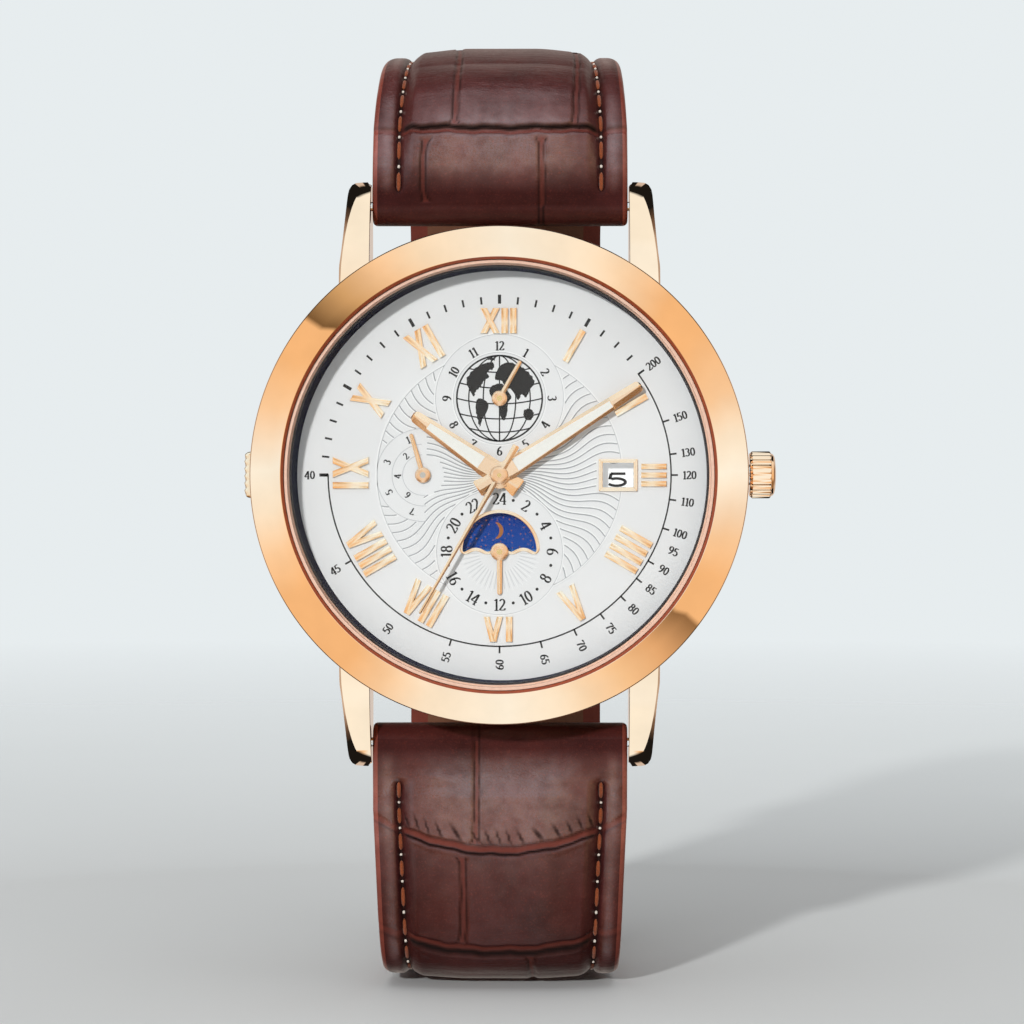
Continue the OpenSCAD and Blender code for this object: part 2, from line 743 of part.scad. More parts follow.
module minute_wheel() {
    color("goldenrod") upright() translate([minute_dist, 0, 0]) {
        arbor(plate_top_z - 0.5, day_z - 0.08);
        toothed(minute_teeth, cannon_mod, minute_z, 0.15, minute_phase);
        toothed(minute_leaves, hour_mod, minute_z + 0.15 - eps, hour_z - minute_z + 0.03, minute_leaf_phase);
    }
}

module setting_wheel() {
    color("gold") upright() translate([setting_dist, 0, 0]) {
        arbor(plate_top_z - 0.5, minute_z + 0.3);
        toothed(setting_teeth, cannon_mod, minute_z, 0.15, setting_phase);
    }
}

module hour_wheel() {
    color("gold") upright() difference() {
        union() {
            toothed(hour_teeth, hour_mod, hour_z, 0.15);
            disc(1.2, hour_z + 0.15 - eps, day_z - hour_z - 0.15 + 2 * eps);
            toothed(hour_day_teeth, day_mod, day_z, wheel_t);
            disc(hour_tube_r, day_z, hour_hand_z + hand_t - day_z);
        }
        disc(hour_bore_r, 0, bezel_top);
    }
}

module idler_wheel() {
    color("goldenrod") upright() translate([0, -idler_dist, 0]) {
        arbor(plate_top_z - 0.5, day_z + wheel_t + 0.1);
        toothed(idler_teeth, day_mod, day_z, wheel_t, idler_phase);
    }
}

module day_night_wheel() {
    color("gold") upright() translate([0, -sub_offset, 0]) {
        arbor(plate_top_z - 0.6, sub_hand_z + hand_t, sub_arbor_r);
        toothed(day_teeth, day_mod, day_z, wheel_t, day_phase);
    }
}

module day_night_disc() {
    color("royalblue") upright() translate([0, -sub_offset, 0])
        ring(aperture_r + 0.3, sub_arbor_r + fit, day_z + wheel_t, 0.12);
}

module date_disc() {
    inner_teeth = 31;
    inner_r = window_r - window_w / 2 - 0.35;
    outer_r = window_r + window_w / 2 + 0.5;
    color("white") upright() linear_extrude_at(date_z, date_t) difference() {
        circle(r = outer_r);
        polygon(tooth_points(inner_teeth, 2 * inner_r / inner_teeth, 0, 0.9, 0));
    }
}

module date_jumper() {
    inner_r = window_r - window_w / 2 - 0.9;
    color("lightsteelblue") upright() {
        linear_extrude_at(plate_top_z, 0.3) difference() {
            circle(r = inner_r);
            circle(r = inner_r - 0.35);
            rotate(55) translate([-20, 0]) square([40, 20]);
            rotate(-40) translate([-20, -20]) square([40, 20]);
        }
        disc(0.5, plate_top_z, 0.35, polar(inner_r - 0.5, 50));
    }
}

module weekday_star() {
    color("goldenrod") upright() translate([-sub_offset, 0, 0]) {
        arbor(plate_top_z - 0.6, sub_hand_z + hand_t, sub_arbor_r);
        toothed(7, 0.42, day_z, wheel_t, 0);
    }
}

module month_wheel() {
    color("goldenrod") upright() translate([0, sub_offset, 0]) {
        arbor(plate_top_z - 0.6, sub_hand_z + hand_t, sub_arbor_r);
        toothed(12, 0.28, day_z, wheel_t, 0);
    }
}

// Dial

module aperture_shape(r, grow = 0) {
    bump_r = r / 3.4;
    difference() {
        intersection() {
            circle(r = r + grow);
            translate([-r - 1, -grow]) square([2 * r + 2, r + 2]);
        }
        for (side = [-1, 1]) translate([side * r * 0.62, -bump_r * 0.35]) circle(r = bump_r - grow);
        translate([0, -0.2]) circle(r = sub_hub_r + 0.35 - grow);
    }
}

module dial() {
    color("whitesmoke") upright() difference() {
        disc(dial_r, dial_back_z, dial_t);
        disc(hour_tube_r + run, 0, bezel_top);
        for (at = [[-sub_offset, 0], [0, sub_offset], [0, -sub_offset]])
            disc(sub_arbor_r + run, 0, bezel_top, at);
        translate([window_r - window_w / 2, -window_h / 2, 0]) cube([window_w, window_h, bezel_top]);
        translate([0, -sub_offset, 0]) linear_extrude(bezel_top) aperture_shape(aperture_r);
    }
}

// One bar of a numeral from foot to head, at x across and leaning by lean
module numeral_bar(x_foot, x_head, height = numeral_h) {
    w = numeral_bar / 2;
    polygon([[x_foot - w, 0], [x_foot + w, 0], [x_head + w, height], [x_head - w, height]]);
}

// Strokes of each hour as [foot, head], read with the foot at the bottom
step = 0.82;
function strokes_i(n, from) = [for (i = [0 : n - 1]) [from + i * step, from + i * step]];
strokes_v = [[0, -0.5], [0, 0.5]];
strokes_x = [[-0.55, 0.55], [0.55, -0.55]];
function shift(strokes, by) = [for (s = strokes) s + [by, by]];
function hour_strokes(h) =
    h == 12 ? concat(shift(strokes_x, -0.95), strokes_i(2, 0.3)) :
    h == 1 ? strokes_i(1, 0) :
    h == 2 ? strokes_i(2, -step / 2) :
    h == 3 ? strokes_i(3, -step) :
    h == 4 ? strokes_i(4, -1.5 * step) :
    h == 5 ? strokes_v :
    h == 6 ? concat(shift(strokes_v, -0.5), strokes_i(1, 0.75)) :
    h == 7 ? concat(shift(strokes_v, -0.9), strokes_i(2, 0.35)) :
    h == 8 ? concat(shift(strokes_v, -1.35), strokes_i(3, -0.1)) :
    h == 9 ? concat(strokes_i(1, -0.95), shift(strokes_x, 0.35)) :
    h == 10 ? strokes_x : concat(shift(strokes_x, -0.4), strokes_i(1, 0.85));

module hour_numerals() {
    color("sandybrown") upright() linear_extrude_at(dial_z, applied_t) for (h = [1 : 12]) {
        upside = h > 3 && h < 9;
        rotate(-30 * h) translate([0, upside ? numeral_r + numeral_h : numeral_r]) rotate(upside ? 180 : 0)
            for (s = hour_strokes(h)) numeral_bar(s[0], s[1], numeral_h);
    }
}

module date_frame() {
    color("sandybrown") upright() linear_extrude_at(dial_z, applied_t) translate([window_r, 0])
        difference() {
        square([window_w + 2 * window_frame, window_h + 2 * window_frame], center = true);
        square([window_w, window_h], center = true);
    }
}

module aperture_frame() {
    color("sandybrown") upright() linear_extrude_at(dial_z, aperture_rise) translate([0, -sub_offset])
        difference() {
        aperture_shape(aperture_r, aperture_frame_w);
        aperture_shape(aperture_r);
    }
}

// Hands

module hand_shape(length, tail, tip_w, root_w) {
    polygon([[-root_w / 2, 0], [-root_w * 0.3, -tail], [root_w * 0.3, -tail], [root_w / 2, 0],
        [tip_w / 2 + 0.1, length - 0.15], [tip_w / 2 - 0.1, length], [-tip_w / 2 + 0.1, length],
        [-tip_w / 2 - 0.1, length - 0.15]]);
}

module hand(z, angle, length, tail, tip_w, root_w, hub_r, bore_r) {
    upright() linear_extrude_at(z, hand_t) rotate(-angle) difference() {
        union() {
            hand_shape(length, tail, tip_w, root_w);
            circle(r = hub_r);
        }
        circle(r = bore_r);
    }
}

module hour_hand() {
    color("sienna")
        hand(hour_hand_z, hour_angle, hour_hand_l, 2, 1.25, 1.9, hour_tube_r + 0.35, hour_tube_r + fit);
}

module minute_hand() {
    color("sienna") hand(minute_hand_z, minute_angle, minute_hand_l, 2.2, 1.15, 1.7,
        centre_tube_r + 0.45, centre_tube_r + fit);
}

module seconds_hand() {
    color("peru")
        hand(seconds_hand_z, seconds_angle, seconds_hand_l, seconds_tail_l, 0.2, 0.5, 0.75, arbor_r + fit);
}

module sub_hand(at, angle) {
    translate([at[0], 0, at[1]])
        hand(sub_hand_z, angle, sub_hand_l, 0.9, 0.2, 0.5, sub_hub_r, sub_arbor_r + fit);
}

module month_hand() {
    color("peru") sub_hand([0, sub_offset], month_angle);
}

module weekday_hand() {
    color("peru") sub_hand([-sub_offset, 0], weekday_angle);
}

module hand_24h() {
    color("peru") sub_hand([0, -sub_offset], day_angle);
}

// Push-piece

module pusher() {
    collar_x = -(case_bore_r - loose);
    color("palegoldenrod") upright() {
        translate([pusher_x, -pusher_l / 2, stem_height - pusher_t / 2])
            cube([pusher_cap_x - pusher_x, pusher_l, pusher_t]);
        along_x(pusher_stem_r, pusher_cap_x - eps, collar_x + eps, stem_height);
        along_x(pusher_collar_r, collar_x, collar_x + pusher_collar_l, stem_height);
        along_x(pusher_pin_r, collar_x + pusher_collar_l - eps, collar_x + pusher_pin_l, stem_height);
    }
}

module pusher_spring() {
    turns = 5;
    wire = 0.2;
    from = -(case_bore_r - loose) + pusher_collar_l;
    span = -(move_r + loose) - from;
    color("silver") upright() for (i = [0 : turns - 1])
        translate([from + wire / 2 + i * (span - wire) / (turns - 1), 0, stem_height]) rotate([0, 90, 0])
            ring(pusher_pin_r + run + wire, pusher_pin_r + run, -wire / 2, wire);
}

// Strap

loop_top = bar_offset + loop_rise;
loop_bottom = bar_offset + loop_drop;

// Lining of the half at 12, as [depth, height], from the spring bar over the top to the buckle
lining_top = loop_top - strap_t;
route_12 = [[lining_y, bar_offset], [lining_y + 0.3, bar_offset + 4],
    [lining_y + 2.6, bar_offset + 8.2], [lining_y + 7.4, lining_top - 1.1], [loop_depth / 2 - 1, lining_top],
    [loop_depth - 8, lining_top - 1.8], [loop_depth - 2.2, lining_top - 6.6],
    [loop_depth, bar_offset + 0.5], [loop_depth, 16], [loop_depth, 9], [loop_depth, buckle_height]];

// Lining of the half at 6, from the spring bar under the wrist and up to the tail's tip
lining_bottom = strap_t - loop_bottom;
route_6 = [[lining_y, -bar_offset], [lining_y - 0.5, -bar_offset - 5], [lining_y - 0.9, -bar_offset - 10.5],
    [lining_y - 0.8, lining_bottom + 4.2], [lining_y + 0.9, lining_bottom + 1.3],
    [lining_y + 4.4, lining_bottom], [lining_y + 12, lining_bottom], [loop_depth - 11, lining_bottom + 0.4],
    [loop_depth - 4.6, lining_bottom + 4.2], [loop_depth - 0.6, lining_bottom + 11],
    [tail_in_y, lining_bottom + 20], [tail_in_y, outer_bar_z - 4], [tail_in_y, outer_bar_z],
    [(tail_in_y + tail_y) / 2, buckle_height - 3.6], [tail_y, buckle_height - 0.2],
    [tail_y, buckle_height + 4], [tail_y, tail_top - 4], [tail_y, tail_top]];

// Half of the strap's cross-section: across from 0 to 1, height from 0 to 1 above the edge's height
pad_outline = [[1, 0, 0], [1, 1, 0], [0.8, 1, 0.1], [0.55, 1, 0.85], [0, 1, 1]];

// Ring of points of the strap at one point of its route
function strap_ring(at, along, w, edge_t, mid_t) =
    let (out = [-along[1], along[0]],
        half = [for (p = pad_outline) [p[0] * w / 2, p[1] * edge_t + p[2] * (mid_t - edge_t)]],
        full = concat(half, [for (i = [len(half) - 2 : -1 : 0]) [-half[i][0], half[i][1]]]))
    [for (q = full) [q[0], at[0] + out[0] * q[1], at[1] + out[1] * q[1]]];

module swept_strap(route, outward, thick, edge, wide, steps = 4) {
    path = spline(route, steps);
    s = lengths(path);
    last = len(path) - 1;
    rings = [for (i = [0 : last])
        let (step_along = path[min(i + 1, last)] - path[max(i - 1, 0)],
            along = step_along / norm(step_along))
        strap_ring(path[i], outward * along, lookup(s[i], wide), lookup(s[i], edge), lookup(s[i], thick))];
    n = len(rings[0]);
    sides = [for (i = [0 : last - 1]) for (k = [0 : n - 1]) let (a = i * n + k, b = i * n + (k + 1) % n)
        each [[a, b, b + n], [a, b + n, a + n]]];
    ends = [[for (k = [n - 1 : -1 : 0]) k], [for (k = [0 : n - 1]) last * n + k]];
    faces = concat(sides, ends);
    polyhedron(points = [for (r = rings) each r],
        faces = outward > 0 ? faces : [for (f = faces) [for (k = [len(f) - 1 : -1 : 0]) f[k]]]);
}

// Lengths along the strap where its width and thickness change
strap_wide = [[0, strap_w], [strap_len_wide, strap_w], [20, strap_w - 1.4], [35, strap_w - 3.4],
    [strap_len_taper, strap_end_w], [200, strap_end_w]];

module end_tube(z, outer_r) {
    translate([0, bar_y, z]) along_x(outer_r, -strap_w / 2, strap_w / 2, 0);
}

module strap_12() {
    edge_t = 1.6;
    thick = [[0, 2 * 1.4], [4, strap_pad_t], [14, strap_pad_t - 0.2], [24, strap_t], [200, strap_t]];
    edge = [[0, 2 * 1.4], [4, 2.6], [20, 2], [30, edge_t + 0.3], [48, edge_t], [60, strap_t], [200,
        strap_t]];
    color("saddlebrown") difference() {
        union() {
            swept_strap(route_12, 1, thick, edge, strap_wide);
            end_tube(bar_offset, tube_end_r);
            translate([0, hinge_y, buckle_height]) along_x(hinge_tube_r, -strap_end_w / 2,
                strap_end_w / 2, 0);
        }
        translate([0, bar_y, bar_offset]) along_x(bar_d / 2 + run, -strap_w, strap_w, 0);
        translate([0, hinge_y, buckle_height]) along_x(buckle_bar_d / 2 + run, -strap_w, strap_w, 0);
        translate([-tongue_slot_w / 2, loop_depth - 1, buckle_height - 3])
            cube([tongue_slot_w, strap_t + 2, 6]);
    }
}

hole_l = 4.6;
hole_w = tongue_w + 0.7;
hole_z = buckle_height - 3.3;

module strap_6() {
    hole_pitch = 6.5;
    hole_r = 0.8;
    thick = [[0, 2 * 1.4], [4, strap_pad_t], [13, strap_pad_t - 0.6], [19, strap_t], [60, strap_t],
        [78, tail_t], [200, tail_t]];
    edge = [[0, 2 * 1.4], [4, 2.6], [18, 2.1], [60, 1.7], [78, tail_t - 0.4], [200, tail_t - 0.4]];
    color("saddlebrown") difference() {
        union() {
            swept_strap(route_6, -1, thick, edge, strap_wide);
            end_tube(-bar_offset, tube_end_r);
        }
        translate([0, bar_y, -bar_offset]) along_x(bar_d / 2 + run, -strap_w, strap_w, 0);
        translate([-hole_w / 2, loop_depth - 1, hole_z - hole_l / 2]) cube([hole_w, 6, hole_l]);
        for (i = [-2, -1, 1, 2, 3]) translate([0, loop_depth - 1, hole_z + i * hole_pitch])
            rotate([-90, 0, 0]) cylinder(r = hole_r, h = 6);
        for (side = [0, 1]) mirror([side, 0, 0]) translate([0, tail_y - 1, tail_top])
            rotate([-90, 0, 0]) linear_extrude(tail_t + 2)
                polygon([[0, -2], [3.4, -1.5 + 2], [7, 2.2], [strap_end_w / 2 - 0.4, 5], [strap_end_w,
                    9], [strap_end_w, -2]]);
    }
}

module keeper(z) {
    in_w = strap_end_w + 2 * soft;
    in_y = loop_depth - soft;
    in_d = tail_y + tail_t + soft - in_y;
    translate([0, in_y - keeper_t, z]) difference() {
        translate([-in_w / 2 - keeper_t, 0, 0]) cube([in_w + 2 * keeper_t, in_d + 2 * keeper_t, keeper_w]);
        translate([-in_w / 2, keeper_t, -eps]) cube([in_w, in_d, keeper_w + 2 * eps]);
    }
}

module fixed_keeper() {
    color("sienna") keeper(fixed_keeper_z);
}

module free_keeper() {
    color("sienna") keeper(free_keeper_z);
}

// Buckle

module buckle_frame() {
    arm_from = buckle_gap / 2;
    arm_r = 1.35;
    half_l = arm_from + arm_w;
    color("peachpuff") difference() {
        union() {
            for (side = [0, 1]) mirror([side, 0, 0]) translate([arm_from, 0, 0]) rotate([90, 0, 90])
                linear_extrude(arm_w) hull() {
                    translate([hinge_y, buckle_height]) circle(r = arm_r, $fn = 32);
                    translate([outer_bar_y, outer_bar_z]) circle(r = outer_bar_d / 2, $fn = 32);
                }
            translate([0, outer_bar_y, outer_bar_z]) along_x(outer_bar_d / 2, -half_l, half_l, 0);
        }
        translate([0, hinge_y, buckle_height]) along_x(buckle_bar_d / 2 + run, -half_l - 1, half_l + 1, 0);
    }
}

module buckle_tongue() {
    eye_r = buckle_bar_d / 2 + 0.45;
    rest_r = outer_bar_d / 2 + loose;
    rest_y = outer_bar_y + rest_r;
    bend = 35;
    color("peachpuff") difference() {
        translate([-tongue_w / 2, 0, 0]) rotate([90, 0, 90]) linear_extrude(tongue_w) union() {
            translate([hinge_y, buckle_height]) circle(r = eye_r);
            polygon([[hinge_y + 0.2, buckle_height + eye_r * 0.9], [hinge_y - 0.2, buckle_height - 1],
                [outer_bar_y + rest_r * cos(bend), outer_bar_z + rest_r * sin(bend)], [rest_y, outer_bar_z],
                [rest_y, outer_bar_z - 1.6], [rest_y + tongue_t, outer_bar_z - 1.4],
                [rest_y + tongue_t, outer_bar_z + 0.4]]);
        }
        translate([0, hinge_y, buckle_height]) along_x(buckle_bar_d / 2 + run, -5, 5, 0);
    }
}

module buckle_bar() {
    half_l = buckle_gap / 2 + arm_w - 0.2;
    color("silver") translate([0, hinge_y, buckle_height]) along_x(buckle_bar_d / 2, -half_l, half_l, 0);
}

module strap_bars() {
    pin_x = lug_x + bar_pin_l;
    color("silver") for (side = [-1, 1]) translate([0, bar_y, side * bar_offset]) {
        along_x(bar_d / 2, -lug_x + 0.3, lug_x - 0.3, 0);
        along_x(bar_pin_d / 2, -pin_x, pin_x, 0);
    }
}

mid_case();
bezel();
crystal();
crystal_gasket();
flange_ring();
case_back();
case_back_gasket();
crown_tube();
crown();
crown_gasket();
stem();
sliding_pinion();
setting_lever();
movement_holder();
main_plate();
train_bridge();
battery();
battery_clamp();
circuit_board();
quartz_can();
coil();
stator();
rotor();
fifth_wheel();
fourth_wheel();
third_wheel();
centre_wheel();
cannon_pinion();
minute_wheel();
setting_wheel();
hour_wheel();
idler_wheel();
day_night_wheel();
day_night_disc();
date_disc();
date_jumper();
weekday_star();
month_wheel();
movement_screws();
dial();
hour_numerals();
date_frame();
aperture_frame();
hour_hand();
minute_hand();
seconds_hand();
month_hand();
weekday_hand();
hand_24h();
strap_12();
strap_6();
fixed_keeper();
free_keeper();
buckle_frame();
buckle_tongue();
buckle_bar();
strap_bars();
pusher();
pusher_spring();
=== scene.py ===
import bpy
import bmesh
import math
import random
import numpy as np
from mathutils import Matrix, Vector
from mathutils.geometry import tessellate_polygon


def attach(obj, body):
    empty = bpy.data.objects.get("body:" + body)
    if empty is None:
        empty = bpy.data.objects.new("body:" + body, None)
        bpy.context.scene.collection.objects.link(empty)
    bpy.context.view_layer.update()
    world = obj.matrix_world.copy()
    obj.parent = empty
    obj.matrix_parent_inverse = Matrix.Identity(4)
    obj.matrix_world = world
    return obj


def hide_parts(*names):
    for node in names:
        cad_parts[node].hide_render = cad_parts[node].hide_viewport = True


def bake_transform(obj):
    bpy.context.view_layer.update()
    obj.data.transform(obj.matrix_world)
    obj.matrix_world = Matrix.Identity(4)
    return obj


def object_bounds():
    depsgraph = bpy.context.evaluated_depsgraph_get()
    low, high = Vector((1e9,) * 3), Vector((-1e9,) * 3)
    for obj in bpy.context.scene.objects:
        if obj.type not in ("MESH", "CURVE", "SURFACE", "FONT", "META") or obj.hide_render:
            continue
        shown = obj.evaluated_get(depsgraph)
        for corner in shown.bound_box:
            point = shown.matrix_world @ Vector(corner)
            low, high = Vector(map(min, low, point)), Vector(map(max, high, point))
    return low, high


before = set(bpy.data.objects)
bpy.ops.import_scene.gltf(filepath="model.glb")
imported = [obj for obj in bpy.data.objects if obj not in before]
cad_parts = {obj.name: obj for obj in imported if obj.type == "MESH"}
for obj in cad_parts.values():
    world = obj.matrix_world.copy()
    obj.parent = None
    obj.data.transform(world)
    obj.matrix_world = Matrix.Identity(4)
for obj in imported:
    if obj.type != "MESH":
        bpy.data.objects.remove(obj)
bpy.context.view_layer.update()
MM = 0.001

# Sizes that repeat the solids', in millimetres. Heights of the head are from the case back.
DIAL_Z = 6.6
BEZEL_R = 21.0
LUG_X = 11.0
SUB = 6.5
BAR_Y = -2.6
BAR_Z = 23.0
CROWN_Z = 4.2
FLUTES, FLUTE_DEPTH = 24, 0.13
SMALL_HAND_Z = 6.8
WINDOW_X, WINDOW_W, WINDOW_H = 10.05, 2.6, 2.05
HINGE = (31.35, 2.0)
OUTER_BAR = (34.0, -6.0)
HOUR, MINUTE, SECOND = 304.8, 57.5, 210.0
MONTH, WEEKDAY, DAY = 29.3, 343.7, 180.0


# Material nodes

def node(tree, kind, inputs=None, **props):
    n = tree.nodes.new(kind)
    for key, value in props.items():
        setattr(n, key, value)
    for key, value in (inputs or {}).items():
        if isinstance(value, bpy.types.NodeSocket):
            tree.links.new(value, n.inputs[key])
        else:
            n.inputs[key].default_value = value
    return n


def calc(tree, operation, a, b=0.0, clamp=False):
    return node(tree, "ShaderNodeMath", {0: a, 1: b, 2: 0.0}, operation=operation, use_clamp=clamp).outputs[0]


def times(tree, a, b):
    return calc(tree, "MULTIPLY", a, b)


def plus(tree, a, b):
    return calc(tree, "ADD", a, b)


def blend(tree, factor, a, b, mode="MIX"):
    colours = {i: v if isinstance(v, bpy.types.NodeSocket) else (*v, 1.0) for i, v in ((6, a), (7, b))}
    return node(tree, "ShaderNodeMix", {0: factor, **colours}, data_type="RGBA", blend_type=mode).outputs[2]


def ramp(tree, factor, stops):
    n = node(tree, "ShaderNodeValToRGB", {0: factor})
    e = n.color_ramp.elements
    while len(e) > 1:
        e.remove(e[-1])
    e[0].position, e[0].color = stops[0][0], (*stops[0][1], 1.0)
    for position, colour in stops[1:]:
        e.new(position).color = (*colour, 1.0)
    return n.outputs[0]


def grey(value):
    return (value, value, value)


def coords(tree):
    return node(tree, "ShaderNodeTexCoord").outputs["Object"]


def parts_of(tree, vector):
    return node(tree, "ShaderNodeSeparateXYZ", {0: vector}).outputs[:3]


def noise(tree, scale, detail=3.0, rough=0.5, vector=None):
    return node(tree, "ShaderNodeTexNoise", {"Vector": vector or coords(tree), "Scale": scale,
                                             "Detail": detail, "Roughness": rough}).outputs["Fac"]


def stretched(tree, scale):
    return node(tree, "ShaderNodeMapping", {"Vector": coords(tree), "Scale": scale}).outputs[0]


def spread(tree, source, low, high, to_low=0.0, to_high=1.0):
    """Clamped change of range, by default to 0 and 1."""
    return node(tree, "ShaderNodeMapRange", {"Value": source, 1: low, 2: high, 3: to_low, 4: to_high},
                clamp=True).outputs[0]


def middle(tree, source, to_low=0.0, to_high=1.0):
    """The middle of a noise's range spread out."""
    return spread(tree, source, 0.3, 0.7, to_low, to_high)


def distance(tree, a, b):
    return calc(tree, "SQRT", plus(tree, times(tree, a, a), times(tree, b, b)))


def from_axis(tree):
    """Distance in metres from the line along y through the middle of the head."""
    x, _, z = parts_of(tree, coords(tree))
    return distance(tree, x, z)


def feed(bsdf, socket, value):
    bsdf.id_data.links.new(value, bsdf.inputs[socket])


def bumped(tree, bsdf, height, depth, strength=1.0, before=None):
    """Bump of a depth in millimetres, on top of another."""
    inputs = {"Strength": strength, "Distance": depth * MM, "Height": height}
    if before is not None:
        inputs["Normal"] = before
    normal = node(tree, "ShaderNodeBump", inputs).outputs[0]
    if bsdf:
        feed(bsdf, "Normal", normal)
    return normal


def material(name, colour, rough, metal=0.0, **sockets):
    m = bpy.data.materials.new(name)
    m.use_nodes = True
    bsdf = m.node_tree.nodes["Principled BSDF"]
    bsdf.inputs["Base Color"].default_value = (*colour, 1.0)
    bsdf.inputs["Roughness"].default_value = rough
    bsdf.inputs["Metallic"].default_value = metal
    for key, value in sockets.items():
        bsdf.inputs[key.replace("_", " ")].default_value = value
    return m, m.node_tree, bsdf


def scaled(colour, by):
    return tuple(c * by for c in colour)


def metal(name, colour, rough, grain=3000, depth=0.002, spot=0.03):
    """Metal with faint tone drift, fine directional marks and a few smudges."""
    m, t, b = material(name, colour, rough, 1.0)
    feed(b, "Base Color", blend(t, spread(t, noise(t, 260), 0.35, 0.65), scaled(colour, 0.93), colour))
    marks = noise(t, 1.0, 4.0, 0.6, stretched(t, grain if isinstance(grain, tuple) else grey(grain)))
    mixed = plus(t, times(t, marks, spot * 1.2), times(t, noise(t, 420, 4.0), spot))
    feed(b, "Roughness", calc(t, "ADD", mixed, rough - spot * 0.7, clamp=True))
    bumped(t, b, marks, depth)
    return m


def turned_metal(name, colour, rough):
    """Metal with fine rings round the head's axis, as a lathe leaves them."""
    m, t, b = material(name, colour, rough, 1.0)
    line = node(t, "ShaderNodeCombineXYZ", {0: from_axis(t)}).outputs[0]
    rings = noise(t, 5200, 3.0, 0.7, line)
    feed(b, "Roughness", middle(t, rings, rough - 0.05, rough + 0.08))
    feed(b, "Base Color", blend(t, middle(t, noise(t, 1300, 2.0, 0.5, line)), scaled(colour, 0.88), colour))
    bumped(t, b, rings, 0.004)
    return m


def plain(name, colour, rough, scale, depth, tone=0.12, **sockets):
    """Matt or moulded surface with fine grain and slight tone drift."""
    m, t, b = material(name, colour, rough, **sockets)
    n = noise(t, scale, 4.0)
    feed(b, "Base Color", blend(t, middle(t, n), scaled(colour, 1 - tone), colour))
    feed(b, "Roughness", middle(t, n, rough - 0.05, min(1.0, rough + 0.07)))
    bumped(t, b, noise(t, scale * 4, 2.0), depth)
    return m


rose_gold = metal("rose_gold_polished", (0.96, 0.71, 0.50), 0.02, 900, 0.0001, 0.006)
hub_satin = metal("hub_rose_gold_satin", (0.96, 0.66, 0.44), 0.26, (6000, 300, 6000), 0.0015, 0.04)
rose_dark = metal("rose_gold_shade", (0.45, 0.25, 0.14), 0.3, spot=0.04)
hand_metal = metal("hand_rose_gold", (0.96, 0.69, 0.47), 0.1, 5000, 0.0003)
frame_metal = metal("frame_pale_rose_gold", (0.96, 0.76, 0.57), 0.14, 5000, 0.0004)
pale_gold = metal("push_piece_pale_gold", (0.90, 0.74, 0.55), 0.2, 4000, 0.001)
bronze = metal("crescent_bronze", (0.44, 0.19, 0.075), 0.35, spot=0.05)
sun_gold = metal("sun_gold", (0.95, 0.68, 0.2), 0.3, spot=0.05)
steel = metal("steel_satin", (0.62, 0.62, 0.61), 0.26, (5000, 400, 5000), spot=0.05)
steel_polished = metal("steel_polished", (0.72, 0.72, 0.71), 0.1, 1500, 0.001)
back_steel = turned_metal("case_back_steel", (0.66, 0.66, 0.65), 0.22)
brass = metal("wheel_brass", (0.83, 0.62, 0.30), 0.2, 4000, spot=0.05)
plate_brass = metal("plate_brass", (0.78, 0.66, 0.45), 0.3, (6000, 200, 200), 0.004, 0.06)
copper = metal("coil_copper", (0.85, 0.37, 0.2), 0.25, (9000, 100, 100), 0.01, 0.05)
iron = metal("magnet_iron", (0.42, 0.42, 0.43), 0.4, depth=0.004, spot=0.07)
screw_blue = metal("screw_blued", (0.06, 0.10, 0.42), 0.2, (3000, 3000, 300), spot=0.05)
battery_steel = turned_metal("battery_steel", (0.7, 0.7, 0.69), 0.28)
lip = plain("bezel_lip_lacquer", (0.30, 0.052, 0.013), 0.4, 1500, 0.002, 0.2)
ink = plain("ink_black", (0.012, 0.012, 0.014), 0.45, 3000, 0.002, 0.3)
gasket = plain("gasket_black", (0.016, 0.016, 0.017), 0.6, 1200, 0.01, 0.3)
holder = plain("holder_plastic", (0.60, 0.60, 0.57), 0.5, 700, 0.01, 0.08)
board = plain("board_green", (0.02, 0.15, 0.06), 0.35, 1500, 0.006, 0.35)
disc_white = plain("disc_white", (0.88, 0.89, 0.90), 0.5, 1500, 0.003, 0.03, Emission_Strength=0.25)
lume = plain("lume_white", (0.90, 0.89, 0.84), 0.6, 6000, 0.012, 0.05)
relief = plain("dial_relief_line", (0.40, 0.41, 0.43), 0.4, 2500, 0.002)
relief_soft = plain("dial_relief_line_soft", (0.60, 0.61, 0.63), 0.4, 2500, 0.002, 0.1)
relief_light = plain("dial_relief_light", (0.93, 0.935, 0.94), 0.3, 2500, 0.002, 0.03)
navy = plain("flange_navy", (0.006, 0.006, 0.026), 0.5, 1500, 0.0005, 0.3, Specular_IOR_Level=0.04)
thread = plain("thread_tan", (0.31, 0.07, 0.019), 0.7, 9000, 0.03, 0.5, Sheen_Weight=0.2)
thread_pale = plain("thread_pale", (0.80, 0.72, 0.64), 0.6, 6000, 0.01, 0.15)


def dial_material():
    m, t, b = material("dial_silver_white", (0.80, 0.81, 0.83), 0.42)
    fine = noise(t, 9000, 2.0, 0.6)
    drift = spread(t, noise(t, 120, 2.0), 0.35, 0.65)
    feed(b, "Base Color", blend(t, drift, (0.80, 0.805, 0.815), (0.835, 0.84, 0.85)))
    feed(b, "Roughness", middle(t, fine, 0.36, 0.5))
    bumped(t, b, fine, 0.003)
    return m


